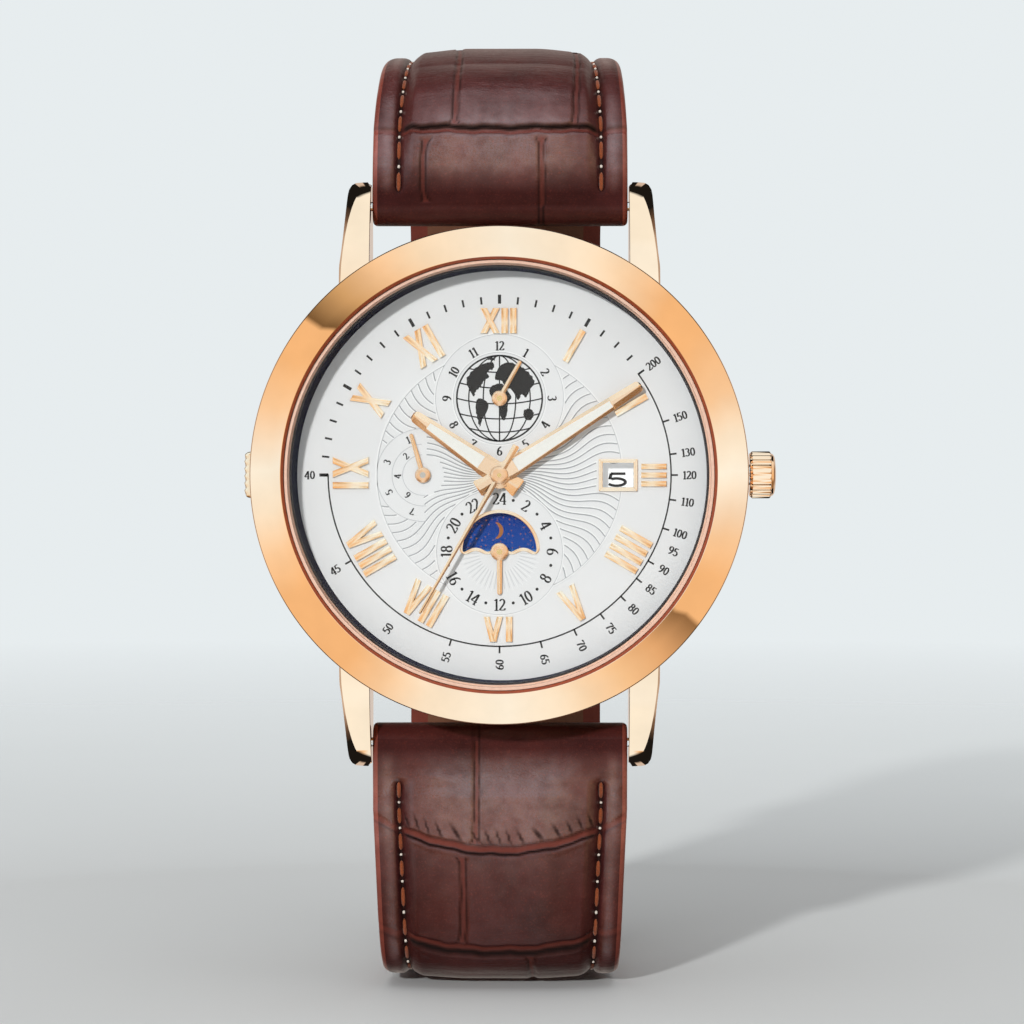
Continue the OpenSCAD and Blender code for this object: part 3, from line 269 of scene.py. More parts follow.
def gasket_material():
    """Clear sealing ring that shows pink beside the crystal and dark under it."""
    m, t, b = material("gasket_ring_pink", (0.8, 0.45, 0.36), 0.35)
    outer = spread(t, times(t, from_axis(t), 1 / MM), 17.68, 17.73)
    pink = blend(t, middle(t, noise(t, 2500)), (0.78, 0.50, 0.38), (0.86, 0.60, 0.47))
    feed(b, "Base Color", blend(t, outer, (0.014, 0.010, 0.012), pink))
    feed(b, "Roughness", middle(t, noise(t, 1200), 0.3, 0.42))
    return m


def numeral_material():
    """Rose gold that runs from pale near the middle of the dial to deep at the rim."""
    m, t, b = material("numeral_rose_gold", (0.95, 0.65, 0.42), 0.16, 1.0)
    far = spread(t, times(t, from_axis(t), 1 / MM), 11.6, 14.0)
    feed(b, "Base Color", blend(t, far, (0.985, 0.86, 0.68), (0.96, 0.66, 0.41)))
    marks = noise(t, 6000, 3.0)
    feed(b, "Roughness", middle(t, marks, 0.13, 0.2))
    bumped(t, b, marks, 0.0002)
    return m


def crystal_material():
    """Coated glass: nearly clear, with a faint reflection."""
    m = bpy.data.materials.new("crystal_clear")
    m.use_nodes = True
    t = m.node_tree
    t.nodes.clear()
    rough = middle(t, noise(t, 60, 2.0), 0.005, 0.02)
    gloss = node(t, "ShaderNodeBsdfGlossy", {"Color": (1, 1, 1, 1), "Roughness": rough})
    clear = node(t, "ShaderNodeBsdfTransparent", {"Color": (0.985, 0.99, 0.99, 1)})
    coated = times(t, node(t, "ShaderNodeFresnel", {"IOR": 1.45}).outputs[0], 0.2)
    mix = node(t, "ShaderNodeMixShader", {0: coated, 1: clear.outputs[0], 2: gloss.outputs[0]})
    node(t, "ShaderNodeOutputMaterial", {0: mix.outputs[0]})
    return m


def sky_material():
    """Night half in deep blue and day half in light blue, split across the disc."""
    m, t, b = material("sky_disc_blue", (0.01, 0.05, 0.30), 0.35, 0.0, Specular_IOR_Level=0.1)
    z = parts_of(t, coords(t))[2]
    half = spread(t, z, -(SUB + 0.25) * MM, -(SUB - 0.25) * MM)
    night = blend(t, spread(t, z, -SUB * MM, -(SUB - 3.2) * MM), (0.012, 0.075, 0.36), (0.008, 0.035, 0.235))
    speck = spread(t, noise(t, 5000, 1.0), 0.66, 0.74)
    night = blend(t, times(t, speck, 0.35), night, (0.20, 0.20, 0.35))
    feed(b, "Base Color", blend(t, half, (0.16, 0.42, 0.75), night))
    feed(b, "Roughness", middle(t, noise(t, 2500), 0.28, 0.42))
    return m


def leather_material(name, dark, mid, red, grain=1.0, gloss=0.34):
    """Grained leather. Three values of the mesh say where it is worn red, creased and polished."""
    m, t, b = material(name, mid, 0.4, 0.0, Coat_Roughness=0.2, Coat_IOR=1.75,
                       Specular_Tint=(1.0, 0.84, 0.78, 1.0))
    valley, crease, shine = (node(t, "ShaderNodeAttribute", attribute_name=key).outputs["Fac"]
                             for key in ("valley", "crease", "shine"))
    pores = node(t, "ShaderNodeTexVoronoi", {"Vector": coords(t), "Scale": 3600, "Randomness": 1.0},
                 feature="DISTANCE_TO_EDGE").outputs[0]
    fine = noise(t, 5200, 3.0, 0.6)
    base = blend(t, spread(t, noise(t, 190, 4.0, 0.6), 0.32, 0.68), dark, mid)
    base = blend(t, times(t, spread(t, fine, 0.55, 0.75), 0.3), base, red)
    base = blend(t, valley, base, red)
    base = blend(t, crease, base, (0.006, 0.004, 0.004))
    feed(b, "Roughness", plus(t, middle(t, fine, gloss - 0.05, gloss + 0.08), times(t, valley, 0.12)))
    patchy = times(t, shine, middle(t, noise(t, 900, 3.0), 0.8, 1.15))
    matt = calc(t, "MAXIMUM", times(t, valley, 0.85), crease)
    kept = calc(t, "MULTIPLY", patchy, calc(t, "SUBTRACT", 1.0, matt, clamp=True), clamp=True)
    feed(b, "Base Color", blend(t, kept, base, blend(t, 1.0, base, (2.3, 2.1, 2.1), "MULTIPLY")))
    feed(b, "Specular IOR Level", spread(t, kept, 0.0, 1.0, 0.05, 0.9))
    feed(b, "Coat Weight", times(t, kept, kept))
    wrinkle = noise(t, 1.0, 4.0, 0.65, stretched(t, (420, 1700, 1700)))
    first = bumped(t, None, wrinkle, 0.07, 0.8 * grain)
    feed(b, "Coat Normal", bumped(t, b, spread(t, pores, 0.0, 0.12), 0.014, 0.5 * grain, first))
    return m


dial_white = dial_material()
clear_ring = gasket_material()
numeral_metal = numeral_material()
crystal_clear = crystal_material()
sky_blue = sky_material()
leather = leather_material("leather_brown_grained", (0.026, 0.0058, 0.0058), (0.050, 0.0115, 0.0108),
                           (0.135, 0.030, 0.021))
leather_edge = leather_material("leather_edge_paint", (0.11, 0.026, 0.019), (0.17, 0.042, 0.029),
                                (0.22, 0.05, 0.034), 0.3, 0.3)
lining = leather_material("leather_lining", (0.115, 0.050, 0.030), (0.16, 0.074, 0.045),
                          (0.20, 0.09, 0.05), 0.7, 0.5)


# Mesh building. Everything is made in millimetres.

def head(x, y, z):
    """A point of the head, drawn face up, stood upright."""
    return (x, -z, y)


def mesh(name, verts, faces):
    me = bpy.data.meshes.new(name)
    me.from_pydata([(x * MM, y * MM, z * MM) for x, y, z in verts], [], [tuple(f) for f in faces])
    return me


def outward(me, weld=0.0):
    """Turns all faces outward, after joining points that lie closer than weld."""
    bm = bmesh.new()
    bm.from_mesh(me)
    if weld:
        bmesh.ops.remove_doubles(bm, verts=bm.verts, dist=weld)
        bmesh.ops.dissolve_degenerate(bm, edges=bm.edges, dist=weld)
    bmesh.ops.recalc_face_normals(bm, faces=bm.faces)
    bm.to_mesh(me)
    bm.free()


def linked(name, data):
    ob = bpy.data.objects.new(name, data)
    bpy.context.collection.objects.link(ob)
    return ob


def make(name, verts, faces, mats, body, replaces=None, slot=None, angle=35, sides=None, values=None):
    """One piece: its mesh, materials, body, the node it stands for and its slot."""
    me = mesh(name, verts, faces)
    me.update()
    outward(me)
    for mat in mats:
        me.materials.append(mat)
    if sides is not None:
        me.polygons.foreach_set("material_index", sides)
    for key, numbers in (values or {}).items():
        me.attributes.new(key, "FLOAT", "POINT").data.foreach_set("value", numbers)
    me.shade_smooth()
    me.set_sharp_from_angle(angle=math.radians(angle))
    ob = linked(name, me)
    if body:
        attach(ob, body)
    if replaces:
        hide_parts(replaces)
    return ob


class Shape:
    """Gathers vertices and faces of one piece."""

    def __init__(self):
        self.v, self.f, self.m = [], [], []

    def add(self, verts, faces, mat=0):
        start = len(self.v)
        self.v += [tuple(v) for v in verts]
        self.f += [tuple(i + start for i in f) for f in faces]
        self.m += [mat] * len(faces)

    def piece(self, name, mats, body, replaces=None, slot=None, angle=60, **kw):
        return make(name, self.v, self.f, mats, body, replaces, slot, angle, sides=self.m, **kw)


def skin(rings, ring, loop=False):
    """Faces over rings of points in a row: closed into a loop, or with a face over each end."""
    faces = [(i * ring + k, i * ring + (k + 1) % ring, (i + 1) % rings * ring + (k + 1) % ring,
              (i + 1) % rings * ring + k) for i in range(rings if loop else rings - 1) for k in range(ring)]
    if not loop:
        faces += [tuple(range(ring)), tuple((rings - 1) * ring + k for k in range(ring))]
    return faces


def lathe(profile, count, place=head):
    """Closed outline of (radius, height) turned round the head's axis."""
    n = len(profile)
    turns = [2 * math.pi * i / count for i in range(count)]
    verts = [place(r * math.cos(a), r * math.sin(a), z) for a in turns for r, z in profile]
    faces = [(i * n + k, (i + 1) % count * n + k, (i + 1) % count * n + (k + 1) % n, i * n + (k + 1) % n)
             for i in range(count) for k in range(n) if max(profile[k][0], profile[(k + 1) % n][0]) > 1e-6]
    return verts, faces


def turned_x(stations, count, y=-CROWN_Z, z=0.0):
    """Closed turned shape about a line along x, from stations (x, radius).

    A third value is the share of the flutes' full depth there.
    """
    verts = []
    for x, radius, *flute in stations:
        for i in range(count):
            a = 2 * math.pi * i / count
            wave = (0.5 + 0.5 * math.cos(FLUTES * a)) ** 0.7
            r = radius - (FLUTE_DEPTH * flute[0] * wave if flute else 0.0)
            verts.append((x, y + r * math.cos(a), z + r * math.sin(a)))
    return verts, skin(len(stations), count)


def at_angle(r, degrees, x=0.0, y=0.0):
    """Point at a radius and an anticlockwise angle round (x, y)."""
    return (x + r * math.cos(math.radians(degrees)), y + r * math.sin(math.radians(degrees)))


def polar(r, clock, x=0.0, y=0.0):
    """Point at a radius and a clockwise angle from 12 o'clock round (x, y)."""
    return at_angle(r, 90 - clock, x, y)


def oval(cx, cy, rx, ry, a0, a1, n):
    """n + 1 points of an ellipse, from one angle to another."""
    turns = [math.radians(a0 + (a1 - a0) * i / n) for i in range(n + 1)]
    return [(cx + rx * math.cos(a), cy + ry * math.sin(a)) for a in turns]


def arc_points(cx, cy, r, a0, a1, n):
    return oval(cx, cy, r, r, a0, a1, n)


def turn(point, degrees, at=(0.0, 0.0)):
    a = math.radians(degrees)
    x, y = point
    return (at[0] + x * math.cos(a) - y * math.sin(a), at[1] + x * math.sin(a) + y * math.cos(a))


def curve_at(a, b, c, d, t):
    """Point between b and c of a smooth curve through all four."""
    return 0.5 * (2 * b + (c - a) * t + (2 * a - 5 * b + 4 * c - d) * t * t
                  + (3 * b - a - 3 * c + d) * t ** 3)


def prism(outline, z0, z1, bevel=0.0, segments=2):
    """Upright block over a convex or simple outline, its top edge rounded."""
    bm = bmesh.new()
    low, high = ([bm.verts.new((x, y, z)) for x, y in outline] for z in (z0, z1))
    n = len(outline)
    bm.faces.new(low[::-1])
    bm.faces.new(high)
    for i in range(n):
        bm.faces.new((low[i], low[(i + 1) % n], high[(i + 1) % n], high[i]))
    bmesh.ops.recalc_face_normals(bm, faces=bm.faces)
    if bevel > 0:
        top = [e for e in bm.edges if e.verts[0].co.z > z1 - 1e-6 and e.verts[1].co.z > z1 - 1e-6]
        bmesh.ops.bevel(bm, geom=top, offset=bevel, segments=segments, profile=0.6, affect="EDGES",
                        clamp_overlap=True)
    bm.verts.index_update()
    verts = [head(*v.co) for v in bm.verts]
    faces = [[v.index for v in f.verts] for f in bm.faces]
    bm.free()
    return verts, faces


def ribbon(left, right, z0, z1):
    """Closed strip between two matching edges."""
    verts = []
    for p, q in zip(left, right):
        verts += [head(*p, z0), head(*q, z0), head(*q, z1), head(*p, z1)]
    return verts, skin(len(left), 4)


def stroke(points, wide, high):
    """Edges of a pen stroke along points, wide across upright lines and high across level ones."""
    left, right = [], []
    for i, (x, y) in enumerate(points):
        x0, y0 = points[max(i - 1, 0)]
        x1, y1 = points[min(i + 1, len(points) - 1)]
        d = math.hypot(x1 - x0, y1 - y0) or 1.0
        nx, ny = -(y1 - y0) / d, (x1 - x0) / d
        k = math.sqrt(wide * wide * nx * nx + high * high * ny * ny) or 1.0
        ox, oy = wide * wide * nx / k / 2, high * high * ny / k / 2
        left.append((x + ox, y + oy))
        right.append((x - ox, y - oy))
    return left, right


def line(shape, points, width, z0, z1, mat=0):
    shape.add(*ribbon(*stroke(points, width, width), z0, z1), mat)


def bar(shape, p, q, width, z0, z1, mat=0):
    """Straight line of one width between two points."""
    line(shape, (p, q), width, z0, z1, mat)


# Digits as pen strokes in a box one unit high, with the box width of each
DIGITS = {
    "0": (0.56, [oval(0.28, 0.5, 0.19, 0.45, 90, 450, 22)]),
    "1": (0.42, [[(0.25, 0.02), (0.25, 0.97)], [(0.25, 0.95), (0.17, 0.86), (0.08, 0.82)],
                 [(0.09, 0.025), (0.41, 0.025)]]),
    "2": (0.54, [oval(0.27, 0.73, 0.17, 0.22, 165, -10, 12)
                 + [(0.41, 0.58), (0.30, 0.40), (0.07, 0.06)], [(0.05, 0.055), (0.47, 0.055)],
                 [(0.45, 0.05), (0.49, 0.2)]]),
    "3": (0.54, [oval(0.25, 0.745, 0.16, 0.2, 155, -85, 12), oval(0.24, 0.29, 0.2, 0.25, 85, -150, 14)]),
    "4": (0.58, [[(0.40, 0.03), (0.40, 0.97)], [(0.38, 0.95), (0.05, 0.29)], [(0.04, 0.28), (0.54, 0.28)],
                 [(0.28, 0.025), (0.52, 0.025)]]),
    "5": (0.54, [[(0.12, 0.94), (0.45, 0.94)], [(0.13, 0.95), (0.10, 0.52)],
                 oval(0.25, 0.32, 0.2, 0.27, 125, -150, 16)]),
    "6": (0.56, [oval(0.29, 0.29, 0.19, 0.25, 0, 360, 20),
                 [(0.10, 0.30), (0.12, 0.55), (0.22, 0.78), (0.36, 0.92), (0.45, 0.95)]]),
    "7": (0.52, [[(0.05, 0.93), (0.48, 0.93)], [(0.46, 0.92), (0.28, 0.5), (0.20, 0.02)],
                 [(0.055, 0.95), (0.05, 0.78)]]),
    "8": (0.56, [oval(0.28, 0.74, 0.155, 0.21, 0, 360, 18), oval(0.28, 0.28, 0.19, 0.255, 0, 360, 20)]),
    "9": (0.56, [oval(0.27, 0.70, 0.19, 0.25, 0, 360, 20),
                 [(0.46, 0.69), (0.44, 0.44), (0.34, 0.21), (0.20, 0.07), (0.11, 0.045)]]),
}


def number(shape, text, height, at, angle, z0, z1, bold, thin, squeeze):
    """Prints a number centred at a point, its baseline turned by angle."""
    x = -sum(DIGITS[c][0] for c in text) * squeeze / 2
    for c in text:
        width, strokes = DIGITS[c]
        for points in strokes:
            dots = [((x + px * squeeze) * height, (py - 0.5) * height) for px, py in points]
            edges = stroke(dots, bold * height, thin * height)
            shape.add(*ribbon(*([turn(p, angle, at) for p in edge] for edge in edges), z0, z1))
        x += width * squeeze


def circle_line(shape, centre, r, width, z0, z1, a0=0.0, a1=360.0, count=160, mat=0):
    """Ring or arc printed or raised on the dial."""
    n = max(8, int(count * abs(a1 - a0) / 360))
    edges = (arc_points(*centre, r + side * width / 2, a0, a1, n) for side in (1, -1))
    shape.add(*ribbon(*edges, z0, z1), mat)


def cut_through(ob, cutters):
    """Cuts holes with closed shapes that are thrown away afterwards."""
    s = Shape()
    for cutter in cutters:
        s.add(*cutter)
    me = mesh("cutters", s.v, s.f)
    outward(me)
    tool = linked("cutters", me)
    mod = ob.modifiers.new("holes", "BOOLEAN")
    mod.object = tool
    mod.operation = "DIFFERENCE"
    mod.solver = "EXACT"
    bpy.context.view_layer.update()
    done = bpy.data.meshes.new_from_object(ob.evaluated_get(bpy.context.evaluated_depsgraph_get()))
    ob.modifiers.clear()
    old = ob.data
    ob.data = done
    bpy.data.meshes.remove(old)
    bpy.data.objects.remove(tool)
    bpy.data.meshes.remove(me)


# Case: bezel, crystal, flange, middle case with its lugs

def bezel_piece():
    face = [(18.38 + 2.52 * t, 9.985 - 0.36 * t - 0.11 * t * t) for t in (i / 16 for i in range(17))]
    end = face[-1][1]
    profile = [(18.12, 7.45), (18.12, 9.80), (18.15, 9.84), (18.345, 9.965), *face, (20.955, end - 0.06),
               (20.985, end - 0.15), (BEZEL_R, end - 0.32), (BEZEL_R, 7.62), (20.94, 7.48), (20.8, 7.42),
               (19.0, 7.42)]
    count = 360
    lacquered = [1 if k < 3 else 0 for k in range(len(profile))] * count
    make("bezel_ring", *lathe(profile, count), [rose_gold, lip], "watch", "bezel", "rose_gold", 30,
         sides=lacquered)


def crystal_piece():
    top = [(17.0 * t, 9.9 - 0.10 * t * t) for t in (i / 12 for i in range(13))]
    rim = [(17.55, 9.76), (17.72, 9.66), (17.80, 9.5), (17.80, 8.54), (17.6, 8.51), (0.0, 8.51)]
    ob = make("crystal_glass", *lathe(top + rim, 200), [crystal_clear], "watch", "crystal", "sapphire", 30)
    outward(ob.data, 1e-7)


def flange_piece():
    """Dark wall inside the crystal, leaning out less on the left as the photograph shows."""
    count, foot, rim = 256, 6.615, 8.27
    levels = ((0.0, foot), (0.06, 6.66), (0.5, 7.4), (0.94, 8.2), (1.0, rim))
    verts = []
    for i in range(count):
        a = 2 * math.pi * i / count
        low = Vector((0.20 + 17.36 * math.cos(a), -0.06 + 17.36 * math.sin(a)))
        high = Vector((17.6 * math.cos(a), 17.6 * math.sin(a)))
        verts += [head(*low.lerp(high, t), z) for t, z in levels]
        verts += [head(17.82 * math.cos(a), 17.82 * math.sin(a), z) for z in (rim, foot)]
    make("flange_wall", verts, skin(count, len(levels) + 2, True), [navy], "watch", "flange_ring",
         "flange_blue", 30)


# Plan of a lug, from its root to its tip: place along the watch, half width of the bright face,
# and the outer edge's half width and place
LUG = ((15.2, 13.50, 13.62, 15.2), (17.7, 13.42, 13.60, 17.7), (19.0, 13.29, 13.43, 19.0),
       (20.4, 13.10, 13.28, 20.5), (21.6, 12.88, 13.17, 21.9), (22.7, 12.60, 13.09, 23.2),
       (23.3, 12.40, 13.03, 24.0), (23.7, 12.23, 12.95, 24.45), (24.1, 11.98, 12.72, 24.85),
       (24.4, 11.68, 12.40, 25.04), (24.6, 11.35, 11.95, 25.08), (24.68, 11.12, 11.35, 25.08))


def lug(shape, sx, sy):
    rows, root, tip = 44, LUG[0][0], LUG[-1][0]
    columns = list(zip(*LUG))
    inner = LUG_X + 0.02
    verts = []
    for i in range(rows + 1):
        y = root + (tip - root) * math.sin(i / rows * math.pi / 2)
        face_x, out_x, out_y = (float(np.interp(y, columns[0], columns[k])) for k in (1, 2, 3))
        top = 1.95 + 5.35 * math.sqrt(max(0.0, 1 - ((y - 12.6) / 12.5) ** 2))
        low = 0.35 + max(0.0, 1 - (y - 12.6) / 7.0) ** 2
        side = max(low + 0.5, top - 0.03 - 1.45 * math.hypot(out_x - face_x, out_y - y))
        ring = ((inner, y, low + 0.12), (inner, y, top - 0.06), (inner + 0.04, y, top), (face_x, y, top),
                (out_x, out_y, side), (out_x, out_y, low + 0.3), (out_x - 0.22, out_y - 0.1, low),
                (inner + 0.15, y, low))
        verts += [head(sx * u, sy * v, z) for u, v, z in ring]
    shape.add(verts, skin(rows + 1, len(ring)))


def case_middle():
    """Middle case band with its four lugs, each with a bright face and a steep outer bevel."""
    profile = [(17.97, 1.0), (17.97, 7.38), (20.45, 7.38), (20.58, 7.3), (20.6, 7.1), (20.6, 2.0),
               (20.5, 1.55), (20.25, 1.15), (19.8, 0.9), (19.15, 0.82), (19.15, 1.0)]
    band = make("case_middle", *lathe(profile, 256), [rose_gold], "watch", "mid_case", "rose_gold", 28)
    cut_through(band, [turned_x(((-22.0, 0.65), (-17.0, 0.65)), 40),
                       turned_x(((17.0, 1.03), (22.0, 1.03)), 48)])
    s = Shape()
    for sx in (1, -1):
        for sy in (1, -1):
            lug(s, sx, sy)
    s.piece("case_lugs", [rose_gold], "watch", slot="rose_gold", angle=28)


bezel_piece()
crystal_piece()
flange_piece()
case_middle()


# Dial: raised lines, printing, numerals and frames

FOOT = DIAL_Z - 0.005
PRINT = (FOOT, DIAL_Z + 0.012)


def clear_of(x, y):
    """True where the wavy field shows: outside the sub-dials, the window and the centre."""
    r = math.hypot(x + SUB, y)
    clock = (90 - math.degrees(math.atan2(y, x + SUB))) % 360
    if (math.hypot(x, y - SUB) < 5.55 or math.hypot(x, y + SUB) < 5.47 or r < 1.75
            or (r < 3.95 and not 5 <= clock <= 178)
            or (abs(x - WINDOW_X) < WINDOW_W / 2 + 0.45 and abs(y) < WINDOW_H / 2 + 0.45)):
        return False
    return math.hypot(x, y) < 10.42


def wavy_field():
    """Engraved waves: each a dark line with a light one beside it."""
    s = Shape()
    rays, wave = 80, 7.2
    for k in range(rays):
        for shift, mat in ((0.0, 0), (0.10, 1)):
            runs, r = [[]], 1.3
            while r < 10.45:
                bend = 3.3 * math.sin(2 * math.pi * (r - wave) / wave)
                p = at_angle(r, 360 / rays * k + bend + math.degrees(shift / r))
                if clear_of(*p):
                    runs[-1].append(p)
                else:
                    runs.append([])
                r += 0.14 if r > 2.5 else 0.1
            for run in runs:
                if len(run) > 3:
                    line(s, run, 0.10, FOOT, DIAL_Z + 0.016 + 0.003 * mat, mat)
    s.piece("dial_wavy_relief", [relief, relief_light], "watch")


def dial_rings():
    s = Shape()
    z0, z1 = FOOT, DIAL_Z + 0.022
    for a0, a1 in ((7, 63.3), (116.7, 244.1), (295.9, 353)):
        circle_line(s, (0, 0), 10.47, 0.10, z0, z1 + 0.01, a0, a1, 240, 1)
        circle_line(s, (0, 0), 10.38, 0.05, z0, z1, a0, a1, 240)
    for y, r in ((SUB, 5.5), (SUB, 3.98), (-SUB, 5.42)):
        circle_line(s, (0, y), r, 0.09, z0, z1, mat=1)
        circle_line(s, (0, y), r - 0.08, 0.045, z0, z1 - 0.006)
    for r, a0, a1 in ((3.93, 92, 272), (2.62, 92, 276), (1.72, 92, 276)):
        circle_line(s, (-SUB, 0), r, 0.055, z0, z1, a0, a1)
    for i in range(45):
        a = -176 + i * 172 / 44
        bar(s, at_angle(1.75, a, 0, -SUB), at_angle(3.2 + 0.25 * (i % 2), a, 0, -SUB), 0.04, z0, z1 - 0.01,
            i % 2)
    s.piece("dial_rings", [relief_soft, relief_light], "watch")


def dial_printing():
    """Minute marks and outer scale, then the numbers of the upper, lower and left sub-dials."""
    s = Shape()
    for clock in range(0, 360, 6):
        if not 54 < clock < 270:
            wide, length = (0.27, 0.76) if clock % 30 == 0 else (0.17, 0.62)
            bar(s, polar(14.52, clock), polar(14.52 + length, clock), wide, *PRINT)
    circle_line(s, (0, 0), 14.54, 0.125, *PRINT, -180, 36, 220)
    for value in (200, 150, 130, 120, 110, 100, 95, 90, 85, 80, 75, 70, 65, 60, 55, 50, 45, 40):
        clock = 10800 / value
        if value not in (95, 50):
            bar(s, polar(14.5, clock), polar(15.12, clock), 0.15, *PRINT)
        number(s, str(value), 0.7, polar(16.1, clock), (90 if value > 60 else 270) - clock, *PRINT,
               0.2, 0.115, 1.12)
    for i in range(1, 13):
        number(s, str(i), 0.8, polar(4.46, 30 * i, 0, SUB), (180 if 3 < i < 9 else 0) - 30 * i, *PRINT,
               0.19, 0.08, 1.05)
    for i in range(12):
        number(s, str(2 * i or 24), 1.03, polar(4.5, 30 * i, 0, -SUB), (180 if 4 <= i <= 8 else 0) - 30 * i,
               *PRINT, 0.16, 0.07, 1.05)
        s.add(*prism(arc_points(*polar(4.5, 30 * i + 15, 0, -SUB), 0.13, 0, 330, 11), *PRINT))
    for r, height, days in ((3.22, 0.63, ((1, 337), (3, 290), (5, 243), (7, 196.5))),
                            (2.15, 0.6, ((2, 318), (4, 267), (6, 217)))):
        for day, clock in days:
            number(s, str(day), height, polar(r, clock, -SUB, 0), -clock, *PRINT, 0.19, 0.09, 1.1)
    s.piece("dial_printing", [ink], "watch")


# Land shapes of the small globe, drawn freely in a circle of radius 1
LAND = [
    [(-0.78, 0.42), (-0.62, 0.66), (-0.40, 0.80), (-0.16, 0.84), (-0.14, 0.70), (-0.30, 0.62), (-0.24, 0.50),
     (-0.36, 0.42), (-0.44, 0.28), (-0.56, 0.16), (-0.60, 0.04), (-0.70, 0.20)],
    [(-0.52, -0.02), (-0.38, -0.02), (-0.26, -0.14), (-0.30, -0.32), (-0.40, -0.48), (-0.46, -0.66),
     (-0.52, -0.46), (-0.56, -0.22)],
    [(-0.08, 0.60), (0.04, 0.78), (0.24, 0.84), (0.50, 0.74), (0.72, 0.56), (0.82, 0.36), (0.72, 0.22),
     (0.62, 0.02), (0.52, 0.10), (0.44, -0.04), (0.34, 0.12), (0.24, 0.24), (0.12, 0.30), (0.04, 0.42),
     (-0.10, 0.44)],
    [(-0.16, 0.30), (0.06, 0.34), (0.20, 0.16), (0.28, 0.02), (0.20, -0.10), (0.18, -0.34), (0.10, -0.52),
     (0.00, -0.36), (-0.04, -0.12), (-0.18, 0.02), (-0.24, 0.18)],
    [(0.56, -0.30), (0.70, -0.24), (0.80, -0.34), (0.74, -0.50), (0.60, -0.48)],
    [(-0.28, 0.92), (-0.10, 0.96), (-0.14, 0.88)],
]


def globe():
    """Printed globe: rim, meridians, parallels and land."""
    s = Shape()
    z0, z1 = PRINT
    r, wide = 3.62, 0.11
    circle_line(s, (0, SUB), r, 0.14, z0, z1)
    for k in (-0.72, -0.38, 0.38, 0.72):
        line(s, oval(0, SUB, r * k, r, -90, 90, 30), wide, z0, z1)
    bar(s, (0, SUB - r), (0, SUB + r), wide, z0, z1)
    for level in (-0.7, -0.36, 0.0, 0.36, 0.7):
        half = math.sqrt(1 - level * level)
        line(s, [(r * half * t, SUB + r * (level - 0.13 * half * (1 - t * t)))
                 for t in (i / 12 for i in range(-12, 13))], wide, z0, z1)
    for land in LAND:
        smooth, n = [], len(land)
        for i in range(n):
            near = [Vector(land[(i + j) % n]) for j in (-1, 0, 1, 2)]
            for t in (0.0, 0.25, 0.5, 0.75):
                q = curve_at(*near, t) * r * (1 + 0.02 * math.sin(37 * (i + t) + 3 * n))
                smooth.append((q.x, SUB + q.y))
        s.add(*prism(smooth, z0, z1 + 0.003))
    s.piece("dial_globe", [ink], "watch")


# Bars of the Roman numerals from 1 to 12 as (foot x, head x), with their feet at the baseline
NUMERALS = (
    [(0, 0)], [(-0.36, -0.36), (0.36, 0.36)], [(-0.72, -0.72), (0, 0), (0.72, 0.72)],
    [(-1.05, -1.05), (-0.35, -0.35), (0.35, 0.35), (1.05, 1.05)], [(-0.02, -0.52), (0.02, 0.52)],
    [(-0.47, -0.92), (-0.43, 0.02), (0.68, 0.68)], [(-0.82, -1.27), (-0.78, -0.33), (0.33, 0.33), (1.0, 1.0)],
    [(-1.07, -1.52), (-1.03, -0.58), (0.0, 0.0), (0.64, 0.64), (1.28, 1.28)],
    [(0.05, 1.05), (1.05, 0.05), (-0.72, -0.72)], [(-0.5, 0.5), (0.5, -0.5)],
    [(-0.85, 0.1), (0.1, -0.85), (0.72, 0.72)], [(-1.12, -0.22), (-0.22, -1.12), (0.36, 0.36), (0.98, 0.98)],
)


def numerals():
    s = Shape()
    for hour, bars in enumerate(NUMERALS, 1):
        tall, base = (2.15, 12.0) if hour in (3, 6, 12) else (3.05, 11.1)
        wide = 1.02 if hour == 3 else 1.2
        for foot, top in bars:
            thick = 0.47 if hour == 3 else 0.5 if 5 <= hour <= 8 and foot != top else 0.56
            foot, top, side = foot * wide, top * wide, thick / 2
            outline = [(foot - side, 0), (foot + side, 0), (top + side, tall), (top - side, tall)]
            if 3 < hour < 9:
                outline = [(-x, tall - y) for x, y in outline]
            placed = [turn((x, y + base), -30 * hour) for x, y in outline]
            s.add(*prism(placed, DIAL_Z, DIAL_Z + 0.24 + (0.004 if foot > top else 0.0), 0.07))
    s.piece("hour_numerals_bevelled", [numeral_metal], "watch", "hour_numerals", "applied", 25)


def frame_piece(name, outer, inner, height, bevel, replaces):
    """Flat frame on the dial between two outlines with as many points, its upper edges broken."""
    z0, z1 = DIAL_Z, DIAL_Z + height
    verts = []
    for (ox, oy), (ix, iy) in zip(outer, inner):
        d = math.hypot(ix - ox, iy - oy) / bevel
        ux, uy = (ix - ox) / d, (iy - oy) / d
        ring = ((ox, oy, z0), (ox, oy, z1 - bevel), (ox + ux * 0.35, oy + uy * 0.35, z1 - bevel * 0.3),
                (ox + ux, oy + uy, z1), (ix - ux, iy - uy, z1),
                (ix - ux * 0.35, iy - uy * 0.35, z1 - bevel * 0.3), (ix, iy, z1 - bevel), (ix, iy, z0))
        verts += [head(*p) for p in ring]
    make(name, verts, skin(len(outer), 8, True), [frame_metal], "watch", replaces, "applied", 30)


def window_outline(more, corner):
    """Edge of the date window, made wider and taller by more."""
    points = []
    for qx, qy, a in ((1, 1, 0), (-1, 1, 90), (-1, -1, 180), (1, -1, 270)):
        points += arc_points(WINDOW_X + qx * ((WINDOW_W + more) / 2 - corner),
                             qy * ((WINDOW_H + more) / 2 - corner), corner, a, a + 90, 4)
    return points


